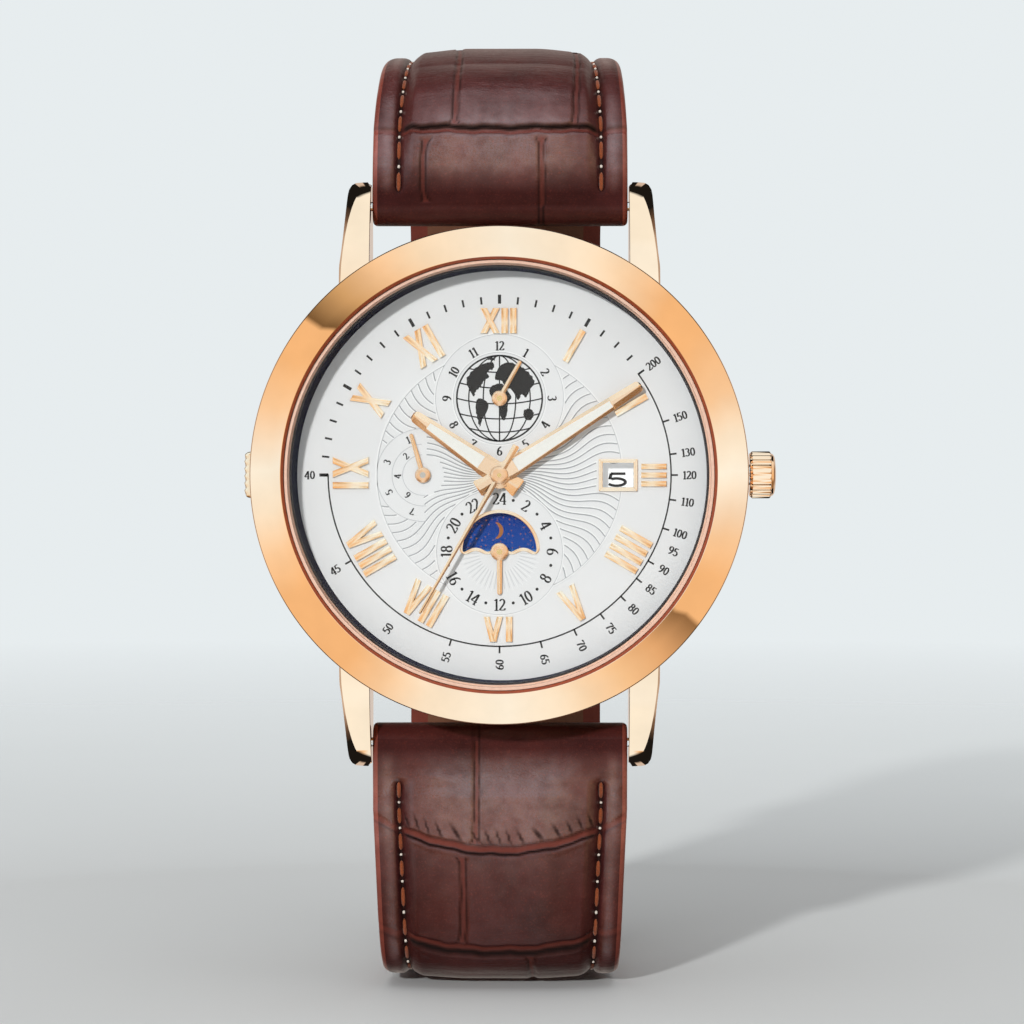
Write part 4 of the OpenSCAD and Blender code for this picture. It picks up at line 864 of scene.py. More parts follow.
def umbrella_line():
    """Edge of the day-night opening about its hub: a dome over three scallops, the middle one at the hub."""
    points = oval(0, 0, 3.14, 3.28, 0, 180, 60)
    for x, wide, deep, n, skip in ((-3.1, 2.18, 0.47, 16, 0), (-0.92, 1.84, 0.70, 12, 1),
                                   (0.92, 2.18, 0.47, 16, 0)):
        points += [(x + wide * i / n, -0.10 + deep * math.sin(math.pi * i / n))
                   for i in range(skip, n + 1 - skip)]
    return soften(points, 3)


def soften(points, rounds):
    """Rounds a closed outline a little."""
    for _ in range(rounds):
        n = len(points)
        points = [tuple(0.25 * points[i - 1][k] + 0.5 * points[i][k] + 0.25 * points[(i + 1) % n][k]
                        for k in (0, 1)) for i in range(n)]
    return points


def widened(points, by):
    """The outline moved outward all round, for one that runs anticlockwise."""
    out = []
    for i, (x, y) in enumerate(points):
        dx, dy = (points[(i + 1) % len(points)][k] - points[i - 1][k] for k in (0, 1))
        d = math.hypot(dx, dy) or 1.0
        out.append((x + dy / d * by, y - dx / d * by))
    return out


def at_sub(points):
    return [(x, y - SUB) for x, y in points]


def frames():
    frame_piece("date_window_frame", window_outline(0.7, 0.08), window_outline(0, 0.05), 0.24, 0.08,
                "date_frame")
    inner = umbrella_line()
    outer = soften(widened(inner, 0.30), 2)
    frame_piece("aperture_frame_raised", at_sub(outer), at_sub(inner), 0.115, 0.05, "aperture_frame")


def dial_plate():
    """Silvered dial with its openings."""
    loops = [arc_points(0, 0, 17.82, 0, 358.5, 239), at_sub(widened(umbrella_line(), 0.03)),
             window_outline(0.04, 0.06), arc_points(0, 0, 0.9, 0, 352.5, 47)]
    loops += [arc_points(x, y, 0.3, 0, 345, 23) for x, y in ((-SUB, 0), (0, SUB), (0, -SUB))]
    flat = [p for loop in loops for p in loop]
    n = len(flat)
    cells = [tuple(c) for c in tessellate_polygon([[Vector((*p, 0.0)) for p in loop] for loop in loops])]
    verts = [head(*p, z) for z in (DIAL_Z, DIAL_Z - 0.4) for p in flat]
    faces = cells + [tuple(i + n for i in c) for c in cells]
    start = 0
    for loop in loops:
        m = len(loop)
        for i in range(m):
            a, b = start + i, start + (i + 1) % m
            faces.append((a, b, n + b, n + a))
        start += m
    make("dial_silvered", verts, faces, [dial_white], "watch", "dial", "dial_white", 30)


def sky_details():
    """Moon, stars and sun on the day-night disc."""
    s = Shape()
    z0, z1 = 5.865, 5.89
    outer = arc_points(-0.42, 1.78 - SUB, 0.74, -80, 80, 18)
    inner = arc_points(-0.80, 1.78 - SUB, 0.78, -62, 62, 18)
    inner[0], inner[-1] = outer[0], outer[-1]
    s.add(*ribbon(outer, inner, z0, z1))
    rng = random.Random(3)
    stars = []
    while len(stars) < 44:
        x, y = rng.uniform(-3.1, 3.1), rng.uniform(0.3, 3.1)
        close = any(math.hypot(x - u, y - w) < 0.36 for u, w in stars)
        if close or math.hypot(x, y) > 3.1 or math.hypot(x + 0.1, y - 1.78) < 0.85:
            continue
        stars.append((x, y))
        r = rng.choice((0.055, 0.07, 0.085))
        s.add(*prism([at_angle(r * (1 - 0.5 * (k % 2)), 45 * k, x, y - SUB) for k in range(8)], z0, z1))
    middle_y = -1.75 - SUB
    s.add(*prism(arc_points(0, middle_y, 0.6, 0, 345, 23), z0, z1), 1)
    for a in range(0, 360, 30):
        bar(s, at_angle(0.72, a, 0, middle_y), at_angle(1.0, a, 0, middle_y), 0.1, z0, z1, 1)
    s.piece("sky_moon_stars_sun", [bronze, sun_gold], "day_night", slot="hand_gold")


def date_numbers():
    """All 31 numbers on the date disc; the one in the window stands a little low, as in the photograph."""
    s = Shape()
    low = 2.3
    for day in range(1, 32):
        a = (day - 5) * 360 / 31 - low
        number(s, str(day), 1.15, at_angle(10.02, a), a + low, 5.445, 5.462, 0.23, 0.19,
               3.3 if day < 10 else 1.75)
    s.piece("date_disc_numbers", [ink], "date", slot="disc_white")


dial_plate()
wavy_field()
dial_rings()
dial_printing()
globe()
numerals()
frames()
sky_details()
date_numbers()


# Hands

def blade(shape, z, angle, stations, at=(0.0, 0.0)):
    """Hand with a flat middle and steep sides: stations are (along, half width, half flat, height)."""
    verts = []
    for y, half, flat, top in stations:
        for x, h in ((-half, 0.0), (-half, 0.03), (-flat, top), (flat, top), (half, 0.03), (half, 0.0)):
            verts.append(head(*turn((x, y), -angle, at), z + h))
    shape.add(verts, skin(len(stations), 6))


def hub(shape, z, r, height, dome, mat, at=(0.0, 0.0)):
    """Round domed boss with a small rounded rim."""
    profile = [(0.0, 0.0), (0.0, height + dome)]
    profile += [(r * t, height + dome * k) for t, k in ((0.66, 1.0), (0.74, 0.87), (0.85, 0.55),
                                                        (0.94, 0.18), (1.0, -0.3))]
    profile.append((r, 0.0))
    shape.add(*lathe(profile, 48, lambda x, y, h: head(x + at[0], y + at[1], z + h)), mat)


def big_hand(name, body, replaces, z, angle, length, tail, root, tip, tail_half, lume_from, lume_to, hub_r):
    """Hand with a white inlay, which narrows outward, and a short tail."""
    s = Shape()
    top, shoulder = 0.185, length - 0.3

    def side(y):
        return root + (tip - root) * max(0.0, y) / shoulder

    def inlay(y):
        return 0.57 - 0.29 * (y - lume_from) / (lume_to - lume_from)

    blade(s, z, angle, [(0.0, root * 0.94, 0.5, top), (lume_from - 0.2, side(1.0), 0.6, top),
                        *((y, side(y), inlay(y) + 0.05, top) for y in (lume_from, lume_to)),
                        (lume_to + 0.12, side(lume_to), 0.16, top), (shoulder, tip, 0.05, top),
                        (length - 0.1, tip * 0.72, 0.04, top * 0.9), (length, tip * 0.35, 0.03, top * 0.7)])
    blade(s, z, angle, [(0.0, root * 0.8, 0.3, top), (-tail * 0.5, root * 0.66, 0.22, top),
                        (-tail + 0.12, tail_half, 0.2, top), (-tail, tail_half * 0.85, 0.15, top * 0.8)])
    corners = ((-1, lume_from), (-1, lume_to), (1, lume_to), (1, lume_from))
    s.add(*prism([turn((k * inlay(y), y), -angle) for k, y in corners], z + 0.07, z + 0.197, 0.012, 1), 1)
    hub(s, z, hub_r, 0.125, 0.07, 2)
    s.piece(name, [hand_metal, lume, hub_satin], body, replaces, "hand_gold", 16)


def thin_hand(name, body, replaces, z, angle, length, root, tip, hub_r, pin, at=(0.0, 0.0), tail=0.0,
              tail_end=0.0):
    """Needle with a hub, a pin in it and, for the seconds, a tail."""
    s = Shape()

    def station(y, half):
        return (y, half, min(0.03, half * 0.4), 0.03 + 0.45 * half)

    blade(s, z, angle, [station(0.0, root), station(length * 0.5, (root + tip) / 2),
                        station(length - 0.14, tip), station(length - 0.05, tip * 0.75),
                        station(length, tip * 0.35)], at)
    if tail:
        blade(s, z, angle, [station(0.0, root), station(-tail + 0.1, tail_end),
                            station(-tail, tail_end * 0.8)], at)
    hub(s, z, hub_r, 0.07, 0.10, 2, at)
    hub(s, z + 0.12, pin, 0.04, 0.035, 1, at)
    s.piece(name, [hand_metal, rose_dark, hub_satin], body, replaces, "hand_gold", 18)


big_hand("hour_hand_faceted", "hours", "hour_hand", 7.1, HOUR, 8.95, 2.0, 1.0, 0.52, 0.85, 1.88, 7.3, 1.15)
big_hand("minute_hand_faceted", "minutes", "minute_hand", 7.5, MINUTE, 14.2, 2.2, 0.88, 0.5, 0.75, 1.6, 11.2,
         0.93)
thin_hand("seconds_hand_needle", "seconds", "seconds_hand", 7.9, SECOND, 13.5, 0.22, 0.12, 0.76, 0.17,
          tail=2.9, tail_end=0.3)
thin_hand("month_hand_needle", "month", "month_hand", SMALL_HAND_Z, MONTH, 3.65, 0.2, 0.165, 0.66, 0.13,
          (0, SUB))
thin_hand("weekday_hand_needle", "weekday", "weekday_hand", SMALL_HAND_Z, WEEKDAY, 3.65, 0.2, 0.165, 0.66,
          0.13, (-SUB, 0))
thin_hand("day_hand_needle", "day_night", "hand_24h", SMALL_HAND_Z, DAY, 3.65, 0.23, 0.2, 0.76, 0.15,
          (0, -SUB))


# Crown and push-piece

def crown_piece():
    stations = [(21.27, 1.25), (21.27, 1.78), (21.33, 1.86), (21.42, 1.93, 0.5), (21.52, 2.02, 1.0),
                (22.98, 2.02, 1.0), (23.06, 1.95, 0.4), (23.10, 1.88), (23.12, 1.84), (23.28, 1.76),
                (23.40, 1.60), (23.47, 1.3), (23.52, 0.8), (23.54, 0.3)]
    make("crown_fluted", *turned_x(stations, 288), [rose_gold], "crown", "crown", "rose_gold", 22)


def pusher_piece():
    """Push-piece: an oblong cushion with a rope pattern, its stem and collar."""
    s = Shape()
    columns, rows = 72, 26
    step = rows + 1
    half_l, half_t = 2.0, 0.9
    grid = []
    for i in range(columns + 1):
        for j in range(step):
            z, w = half_l * (-1 + 2 * i / columns), -1 + 2 * j / rows
            edge_u = max(0.0, (abs(z) - (half_l - 0.38)) / 0.38)
            edge_w = max(0.0, (abs(w) * half_t - (half_t - 0.25)) / 0.25)
            edge = min(1.0, math.hypot(edge_u, edge_w))
            dome = 0.52 * math.sqrt(max(0.0, 1 - edge ** 2.2))
            inside = (1 - min(1.0, edge_u * 1.3)) * (1 - min(1.0, edge_w * 1.2))
            rope = 0.09 * inside * math.cos(2 * math.pi * (z / 0.62 + 0.35 * math.sin(w * 2.6)))
            grid.append((-21.2 - dome + rope * 0.9, -CROWN_Z + half_t * w, z))
    faces = [(k, k + step, k + step + 1, k + 1) for k in (i * step + j for i in range(columns)
                                                          for j in range(rows))]
    ring = ([i * step for i in range(columns)] + [columns * step + j for j in range(rows)]
            + [i * step + rows for i in range(columns, 0, -1)] + list(range(rows, 0, -1)))
    start, m = len(grid), len(ring)
    faces += [(ring[k], ring[(k + 1) % m], start + (k + 1) % m, start + k) for k in range(m)]
    s.add(grid + [(-21.13, *grid[k][1:]) for k in ring], faces + [tuple(range(start, start + m))])
    s.add(*turned_x(((-21.16, 0.6), (-17.92, 0.6), (-17.92, 0.9), (-17.62, 0.9), (-17.62, 0.35),
                     (-15.32, 0.35)), 40))
    s.piece("push_piece_roped", [pale_gold], "push_piece", "pusher", "rose_gold", 40)


def spring_piece():
    """Wound spring between the push-piece's collar and the movement, shorter as the push-piece goes in."""
    turns, steps, sides = 5, 28, 10
    outer, inner, coil, wire = -17.5, -13.2, 0.5, 0.09
    count = turns * steps
    verts = []
    for k in range(count + 1):
        a = 2 * math.pi * k / steps
        x = outer + (inner - outer) * k / count
        for i in range(sides):
            b = 2 * math.pi * i / sides
            r = coil + wire * math.cos(b)
            verts.append((x + wire * math.sin(b), -CROWN_Z + r * math.cos(a), r * math.sin(a)))
    spring = make("push_piece_spring", verts, skin(count + 1, sides), [steel_polished], None, "pusher_spring",
                  "steel")
    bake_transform(spring)


crown_piece()
pusher_piece()
spring_piece()


# Strap

# From the edge to the seam, then the fold round a spring bar: its outer and inner radius, and its rings
SEAM = 2.25
TUBE = 1.69
BORE = 0.8
WRAP = 20
# Width of both halves along their length
WIDE = [(0, 21.8), (6, 21.8), (20, 20.4), (35, 18.4), (45, 18.0), (200, 18.0)]


def along(table, s):
    """Value at a length from a table of (length, value)."""
    return np.interp(s, *zip(*table))


class Strap:
    """One strap half: its lining's route, thickness in the middle and at the edge, shine and pattern.

    sign is 1 for the half at 12 o'clock and -1 for the other, seam the length where its side seams begin.
    A groove is (place, bow, width, strength, folds), a line of cells (x, lean, from, to, width).
    """

    def __init__(self, sign, seam, route, thick, edge, shine):
        p = [Vector(q) for q in route]
        n, steps = len(p), 24
        curve = [curve_at(p[max(i - 1, 0)], p[i], p[i + 1], p[min(i + 2, n - 1)], k / steps)
                 for i in range(n - 1) for k in range(steps)]
        self.path = np.array([tuple(q) for q in curve + [p[-1]]])
        self.s = np.concatenate([[0], np.cumsum(np.linalg.norm(np.diff(self.path, axis=0), axis=1))])
        self.length = self.s[-1]
        tangent = np.gradient(self.path, self.s, axis=0)
        tangent /= np.linalg.norm(tangent, axis=1)[:, None]
        self.out = np.stack([-tangent[:, 1], tangent[:, 0]], 1) * sign
        self.sign, self.seam, self.thick, self.edge, self.shine = sign, seam, thick, edge, shine
        self.grooves, self.cells = [], []

    def at(self, s):
        """Place on the lining and direction outward at a length."""
        y, z, oy, oz = (np.interp(s, self.s, column) for column in (*self.path.T, *self.out.T))
        norm = np.hypot(oy, oz)
        return y, z, oy / norm, oz / norm

    def half(self, s):
        return along(WIDE, s) / 2

    def s_at_height(self, height, lift):
        """Length along the lining where the outer face first reaches a height."""
        ss = np.linspace(0, self.length, 3000)
        _, z, _, oz = self.at(ss)
        return float(ss[np.argmax(self.sign * (z + oz * lift) >= self.sign * height)])

    def row_grooves(self, first, pitch, count, bow):
        """Adds row grooves behind the wrist."""
        self.grooves += [(first + pitch * i + (0.8 if i % 2 else -0.3), bow, 0.26, 0.9 if i < 4 else 0.6,
                          False) for i in range(1, count)]

    def row_cells(self, places, lean, start):
        """Adds cell lines that run from each groove to the next."""
        for a, b, across in zip(self.grooves, self.grooves[1:], places):
            self.cells += [(x, lean, a[0] + start, b[0] - 0.3, 0.22) for x in across]

    def top_point(self, s, x):
        """A point of the top and the direction outward there."""
        h = leather_surface(self, np.array([s]), np.array([x]), self.half(s))[0][0]
        y, z, oy, oz = self.at(s)
        return Vector((x, y + oy * h, z + oz * h)), Vector((0.0, oy, oz))


strap_12 = Strap(
    1, 0.9, [(-0.93, 23), (-0.8, 27), (1.4, 31.2), (6.2, 34.1), (14, 35.2), (22, 33.4), (27.8, 28.6),
             (30, 23.5), (30, 16), (30, 9), (30, 2)],
    [(0, 3.36), (2.5, 3.75), (5, 4.3), (8, 4.0), (12, 3.0), (19, 2.9), (26, 2.7), (200, 2.7)],
    [(0, 3.36), (2.5, 3.1), (5, 2.5), (10, 2.0), (19, 1.9), (30, 1.9), (48, 1.6), (60, 2.7), (200, 2.7)],
    [(0, 0.08), (1.2, 0.06), (2.2, 0.4), (3.2, 1.0), (5.6, 0.95), (7.0, 0.55), (9, 0.6), (14, 0.3),
     (60, 0.15)])
strap_6 = Strap(
    -1, 3.2, [(-0.93, -23), (-1.5, -28), (-2.1, -33.5), (-2.0, -37.3), (-0.3, -40.2), (3.2, -41.5),
              (10.8, -41.5), (19, -41.1), (25.4, -37.3), (29.4, -30.5), (30.4, -21.5), (30.4, -10),
              (30.4, -6), (31.775, -1.6), (33.15, 1.8), (33.15, 6), (33.15, 21), (33.15, 25)],
    [(0, 3.36), (2.5, 3.7), (5, 4.25), (13, 3.9), (19, 2.7), (60, 2.7), (78, 2.2), (200, 2.2)],
    [(0, 3.36), (2.5, 3.1), (5, 2.6), (10, 2.3), (18, 2.1), (60, 1.7), (78, 1.8), (200, 1.8)],
    [(0, 0.1), (0.8, 0.14), (1.8, 0.55), (3.5, 1.0), (6.5, 0.95), (8.5, 0.9), (9.5, 0.55), (12, 0.35),
     (16, 0.2), (60, 0.15)])


def smooth01(t):
    t = np.clip(t, 0, 1)
    return t * t * (3 - 2 * t)


def hump(d, width, power=2):
    return np.exp(-(d / width) ** power)


def edge_drop(q):
    """How far the top falls towards its rounded edge, at a distance from the edge."""
    return 0.4 * (1 - np.sqrt(np.clip(1 - np.clip((0.45 - q) / 0.45, 0, 1) ** 2, 0, 1)))


def leather_surface(strap, s, x, half):
    """Height of the grained top above the lining, with how deep in a valley or crease each point lies."""
    edge, pad = along(strap.edge, s), along(strap.thick, s)
    q = half - np.abs(x)
    stitched = smooth01((s - strap.seam) / 0.9)
    rise = smooth01((q - SEAM) / 1.3) * 0.6 + smooth01((q - SEAM) / (half * 0.5)) * 0.4
    wedge = smooth01(q / (half * 0.55))
    h = edge + (pad - edge) * (rise * stitched + wedge * (1 - stitched)) - edge_drop(q)
    h = h + 0.17 * hump(q - 1.15, 0.75, 4) * stitched - 0.36 * hump(q - SEAM, 0.30) * stitched
    valley = np.zeros_like(h)
    crease = 0.8 * hump(q - SEAM + 0.02, 0.25) * stitched
    wobble = 0.05 * np.sin(x * 1.7 + s * 0.6) + 0.02 * np.sin(x * 4.1 + 1.3)
    on_pad = smooth01((q - SEAM - 0.15) / 0.5)
    for s0, bow, width, strength, folds in strap.grooves:
        d = s - (s0 - bow * (x / 8.5) ** 2) - wobble
        dip = hump(d, width, 4) * strength * (0.45 + 0.55 * on_pad)
        sharp = hump(d - width * 1.2, 0.13 if folds else 0.19) * strength * (0.3 + 0.7 * on_pad)
        faint = hump(d + width * 1.1, 0.09) * strength * 0.4
        rolled = hump(d - width * 2.3, width * 0.9) * strength
        h = h - 0.26 * dip - 0.16 * sharp - 0.07 * faint + 0.10 * rolled * on_pad
        valley = np.maximum(valley, 0.7 * dip)
        crease = np.maximum(np.maximum(crease, sharp), faint * on_pad)
        if folds:
            near = hump(d + 0.95, 0.55) * on_pad
            slant = np.sin((x - 0.45 * d) * 5.4 + 2.1 * np.sin(x * 0.9))
            h = h - 0.10 * near * np.clip(slant - 0.35, 0, 1)
            crease = np.maximum(crease, 0.75 * near * np.clip((slant - 0.62) / 0.3, 0, 1))
    for x0, lean, s_from, s_to, width in strap.cells:
        x_line = x0 + lean * np.sin((s - s_from) / max(s_to - s_from, 0.1) * math.pi) + 0.03 * np.sin(s * 3.1)
        near_end = np.clip(1 - (s_to - s) / 0.7, 0, 1) + np.clip(1 - (s - s_from) / 0.7, 0, 1)
        reach = width + 0.35 * np.clip(near_end, 0, 1) ** 2
        d = x - x_line
        inside = smooth01((s - s_from) / 0.25) * smooth01((s_to - s) / 0.25) * on_pad
        dip = hump(d, reach, 4) * inside
        h = h - 0.13 * dip
        valley = np.maximum(valley, 0.45 * dip)
        for side in (-1, 1):
            sharp = hump(d - side * reach, 0.10) * inside
            h = h - 0.11 * sharp
            crease = np.maximum(crease, 0.7 * sharp)
    return h, valley, crease


def shine_at(strap, s, x, half):
    """How polished the top is along and across: duller by the bar, in the seam and far back."""
    q = half - np.abs(x)
    across = 0.55 + 0.45 * smooth01((q - SEAM) / (half * 0.45))
    rim = 0.4 * hump(q - 1.25, 0.5) * smooth01((s - 0.8) / 1.4)
    return np.clip(along(strap.shine, s) * across + rim, 0, 1)


def strap_piece(name, strap, replaces, tip_round=0.0):
    """Whole strap half, folded round its spring bar: grained top, painted edges and plain lining."""
    finest = min(26.0, strap.length)
    rows = np.concatenate([np.arange(0, finest, 0.13), np.arange(finest, strap.length - 0.02, 0.3),
                           [strap.length]])
    columns, under, reach, sign = 161, 13, 2.2, strap.sign
    ring = columns + under
    # Places across, from -1 to 1, closer together towards the edges
    bend = math.pi / 2 * 0.92
    v = np.sin(np.linspace(-1, 1, columns) * bend) / math.sin(bend)
    verts, valley_all, crease_all, shine_all = [], [], [], []
    # Round the bar from the back, by the case's side, to the front
    half = strap.half(0.0)
    x = v * half
    for k in range(WRAP):
        a = math.pi * k / WRAP
        cos, sin = math.cos(a), -sign * math.sin(a)
        groove = np.zeros_like(x)
        for x0, _, s_from, _, width in strap.cells:
            if s_from < 0:
                lines = hump(x - x0 + width, 0.085) + hump(x - x0 - width, 0.085)
                groove += lines * smooth01((a / math.pi - 0.35) / 0.2)
        radius = TUBE - edge_drop(half - np.abs(x)) - 0.08 * np.minimum(1.0, groove)
        verts += [(xi, BAR_Y + r * cos, sign * BAR_Z + r * sin) for xi, r in zip(x, radius)]
        verts += [(xi, BAR_Y + BORE * cos, sign * BAR_Z + BORE * sin)
                  for xi in np.linspace(half, -half, under)]
        valley_all += [0.0] * ring
        crease_all += [*np.clip(groove, 0, 1) * 0.85, *[0.0] * under]
        shine_all += [0.15] * ring
    for s in rows:
        half, lowered = strap.half(s), 0.0
        if tip_round:
            left = strap.length - s
            half = max(half * (1 - max(0.0, 1 - left / tip_round) ** 2.3) ** 0.5, 0.25)
            lowered = 0.5 * max(0.0, 1 - left / 0.8) ** 2
        x = v * half
        h, valley, crease = leather_surface(strap, np.full_like(x, s), x, half)
        y, z, oy, oz = strap.at(s)
        verts += [(xi, y + oy * hi, z + oz * hi) for xi, hi in zip(x, h - lowered)]
        for i, xi in enumerate(np.linspace(half, -half, under)):
            low = 0.0 if 0 < i < under - 1 else 0.28
            low_y, low_z = y + oy * low, z + oz * low
            if s < reach:
                a = math.pi + math.pi * s / reach
                low_y, low_z = BAR_Y + BORE * math.cos(a), sign * (BAR_Z - BORE * math.sin(a))
            verts.append((xi * (0.985 if i in (1, under - 2) else 1.0), low_y, low_z))
        valley_all += [*valley, *[0.0] * under]
        crease_all += [*crease, *[0.0] * under]
        shine_all += [*shine_at(strap, s, x, half), *[0.03] * under]
    n = len(rows) + WRAP
    first_flat = WRAP + int(np.argmax(rows >= reach))
    faces, mats = [], []
    for i in range(n - 1):
        for k in range(ring):
            if i < first_flat and k in (columns - 1, ring - 1):
                continue
            a, b, l = i * ring, (i + 1) * ring, (k + 1) % ring
            faces.append((a + k, b + k, b + l, a + l))
            if k < columns - 1:
                mats.append(1 if abs(v[k] + v[k + 1]) / 2 > 0.963 else 0)
            else:
                mats.append(1 if k in (columns - 1, columns, ring - 1, ring - 2) else 2)
    # The ends of the fold, one shape on each side
    for top, low in ((columns - 1, columns), (0, ring - 1)):
        faces.append((*(i * ring + top for i in range(first_flat + 1)),
                      *(i * ring + low for i in range(first_flat, -1, -1))))
        mats.append(1)
    faces += [tuple(range(ring)), tuple((n - 1) * ring + k for k in range(ring))]
    ob = make(name, verts, faces, [leather, leather_edge, lining], "watch", replaces, "leather", 60,
              sides=mats + [2, 0], values={"valley": valley_all, "crease": crease_all, "shine": shine_all})
    return ob


def capsule(p, q, r, up, lift=0.3):
    """Thread stitch between two points, arched a little, its ends rounded."""
    p, q = Vector(p), Vector(q)
    axis = (q - p).normalized()
    side = axis.cross(up).normalized()
    over = side.cross(axis).normalized()
    verts, sides = [], 8
    stations = ((0.0, 0.15), (0.06, 0.6), (0.18, 0.95), (0.5, 1.0), (0.82, 0.95), (0.94, 0.6), (1.0, 0.15))
    for t, k in stations:
        centre = p.lerp(q, t) + over * (r * lift * math.sin(math.pi * t))
        for i in range(sides):
            a = 2 * math.pi * i / sides
            verts.append(centre + side * (r * k * math.cos(a)) + over * (r * k * 0.85 * math.sin(a)))
    return verts, skin(len(stations), sides)


def stitches(name, strap, s_to):
    s = Shape()
    for side in (-1, 1):
        a = strap.seam + 0.45
        while a < s_to:
            (p, up), (q, _), (bead, _), (end, _) = (
                strap.top_point(a + d, side * (strap.half(a + d) - SEAM)) for d in (0, 1.35, 1.62, 1.84))
            s.add(*capsule(p + up * 0.04, q + up * 0.04, 0.19, up, 0.35))
            s.add(*capsule(bead + up * 0.12, end + up * 0.10, 0.12, up), 1)
            a += 2.2
    s.piece(name, [thread, thread_pale], "watch", slot="leather")


def square_cutter(half, y0, y1, z0, z1):
    verts = [(x, y, z) for z in (z0, z1) for x, y in ((-half, y0), (half, y0), (half, y1), (-half, y1))]
    return verts, skin(2, 4)


def round_cutter(r, y0, y1, z):
    ring = arc_points(0, z, r, 0, 360, 28)[:-1]
    return [(x, y, u) for y in (y0, y1) for x, u in ring], skin(2, len(ring))


first = strap_12.s_at_height(29.3, 4.2)
strap_12.grooves = [(first, -0.45, 0.2, 1.0, False)]
strap_12.row_grooves(first + 5.5, 9.6, 6, 0.9)
strap_12.cells = [(-6.3, -0.3, 0.3, first - 0.3, 0.2), (3.5, 0.1, -1.0, first - 0.3, 0.22)]
strap_12.row_cells(((-3.9, 6.4), (1.8,), (-5.0, 4.3), (0.4,), (-3.0, 5.0)), 0.25, 0.35)

first, second = strap_6.s_at_height(-31.9, 4.2), strap_6.s_at_height(-41.0, 3.7)
strap_6.grooves = [(first, 1.7, 0.28, 1.0, True), (second, 0.7, 0.26, 1.0, False)]
strap_6.row_grooves(second, 9.4, 9, 0.8)
strap_6.cells = [(-2.05, 0.1, -1.0, first - 0.35, 0.22)]
strap_6.row_cells(((-3.25,), (2.6,), (-4.2, 3.6), (0.8,), (-2.4, 5.2), (1.5,), (-4.0, 2.4), (0.2,), (-2.0,)),
                  0.2, 0.4)

upper = strap_piece("strap_upper_leather", strap_12, "strap_12")
lower = strap_piece("strap_lower_leather", strap_6, "strap_6", 6.5)
stitches("strap_upper_stitches", strap_12, strap_12.length - 9)
stitches("strap_lower_stitches", strap_6, strap_6.length - 7)
cut_through(upper, [square_cutter(1.15, 28, 35, -1.0, 5.0)])
cut_through(lower, [square_cutter(1.0, 29, 37, -3.6, 1.0),
                    *(round_cutter(0.8, 28, 38, -1.3 + 6.5 * i) for i in (-2, -1, 1, 2, 3))])


# Keepers and buckle

def band_loop(y0, y1, half, z, width, thick):
    """Flat leather band bent round into a closed loop."""
    path, dense, corner = [], [], 0.9
    low, high = y0 + corner, y1 - corner
    for side, y, a in ((1, high, 0), (-1, high, 90), (-1, low, 180), (1, low, 270)):
        path += arc_points(side * (half - corner), y, corner, a, a + 90, 8)
    for i, (x, y) in enumerate(path):
        dx, dy = (path[(i + 1) % len(path)][k] - path[i][k] for k in (0, 1))
        steps = max(1, int(math.hypot(dx, dy) / 0.6))
        dense += [(x + dx * k / steps, y + dy * k / steps) for k in range(steps)]
    w = width / 2
    section = arc_points(w - 0.3, thick - 0.3, 0.3, 0, 90, 3)
    section += [(w * k, thick + 0.06 * (1 - k * k)) for k in (0.6, 0.3, 0.0, -0.3, -0.6)]
    section += arc_points(-w + 0.3, thick - 0.3, 0.3, 90, 180, 3)
    section += [(-w, 0.12), (-w + 0.12, 0.0), (w - 0.12, 0.0), (w, 0.12)]
    verts = []
    for i, (x, y) in enumerate(dense):
        dx, dy = (dense[(i + 1) % len(dense)][k] - dense[i - 1][k] for k in (0, 1))
        d = math.hypot(dx, dy)
        verts += [(x + dy / d * h, y - dx / d * h, z + w + a) for a, h in section]
    return verts, skin(len(dense), len(section), True)


def keeper_piece(name, body, replaces, z):
    s = Shape()
    outer, thick = 35.68, 0.92
    s.add(*band_loop(29.66, outer, 9.36, z, 4.0, thick))
    for side in (-1.35, 1.35):
        for i in range(12):
            x = -8.4 + i * 1.42
            p, q = ((u, outer + thick + 0.01, z + 2 + side) for u in (x, x + 0.95))
            s.add(*capsule(p, q, 0.15, Vector((0, 1, 0))), 1)
    ob = s.piece(name, [leather, thread], body, replaces, "keeper_leather", 50,
                 values={"shine": [0.5] * len(s.v)})


keeper_piece("keeper_fixed_leather", "watch", "fixed_keeper", 8.0)
keeper_piece("keeper_free_leather", "keeper", "free_keeper", 14.0)


def buckle_frame():
    """Two flat side arms that taper from the hinge to the round outer bar."""
    s = Shape()
    (hy, hz), (oy, oz) = HINGE, OUTER_BAR
    d = math.hypot(oy - hy, oz - hz)
    ty, tz = (oy - hy) / d, (oz - hz) / d
    section = ((9.42, -0.82), (9.42, 0.82), (9.55, 0.97), (10.2, 1.0), (10.82, 0.95), (10.98, 0.78),
               (10.98, -0.78), (10.82, -0.95), (10.2, -1.0), (9.55, -0.97))
    last = 24
    ends = {0: (0.45, -0.98), 1: (0.86, -0.72), last - 1: (0.86, 0.72), last: (0.45, 0.98)}
    for sign in (-1, 1):
        verts = []
        for i in range(last + 1):
            t = i / last
            r = 1.33 - 0.35 * t
            high, beyond = (r * k for k in ends.get(i, (1.0, 0.0)))
            y, z = hy + (oy - hy) * t + ty * beyond, hz + (oz - hz) * t + tz * beyond
            verts += [(sign * x, y - tz * u * high, z + ty * u * high) for x, u in section]
        s.add(verts, skin(last + 1, len(section)))
    s.add(*turned_x(((-10.9, 0.79), (-10.82, 0.92), (-10.7, 0.99), (10.7, 0.99), (10.82, 0.92), (10.9, 0.79)),
                    40, oy, oz))
    s.piece("buckle_frame_rounded", [rose_gold], "buckle", "buckle_frame", "rose_gold", 35)


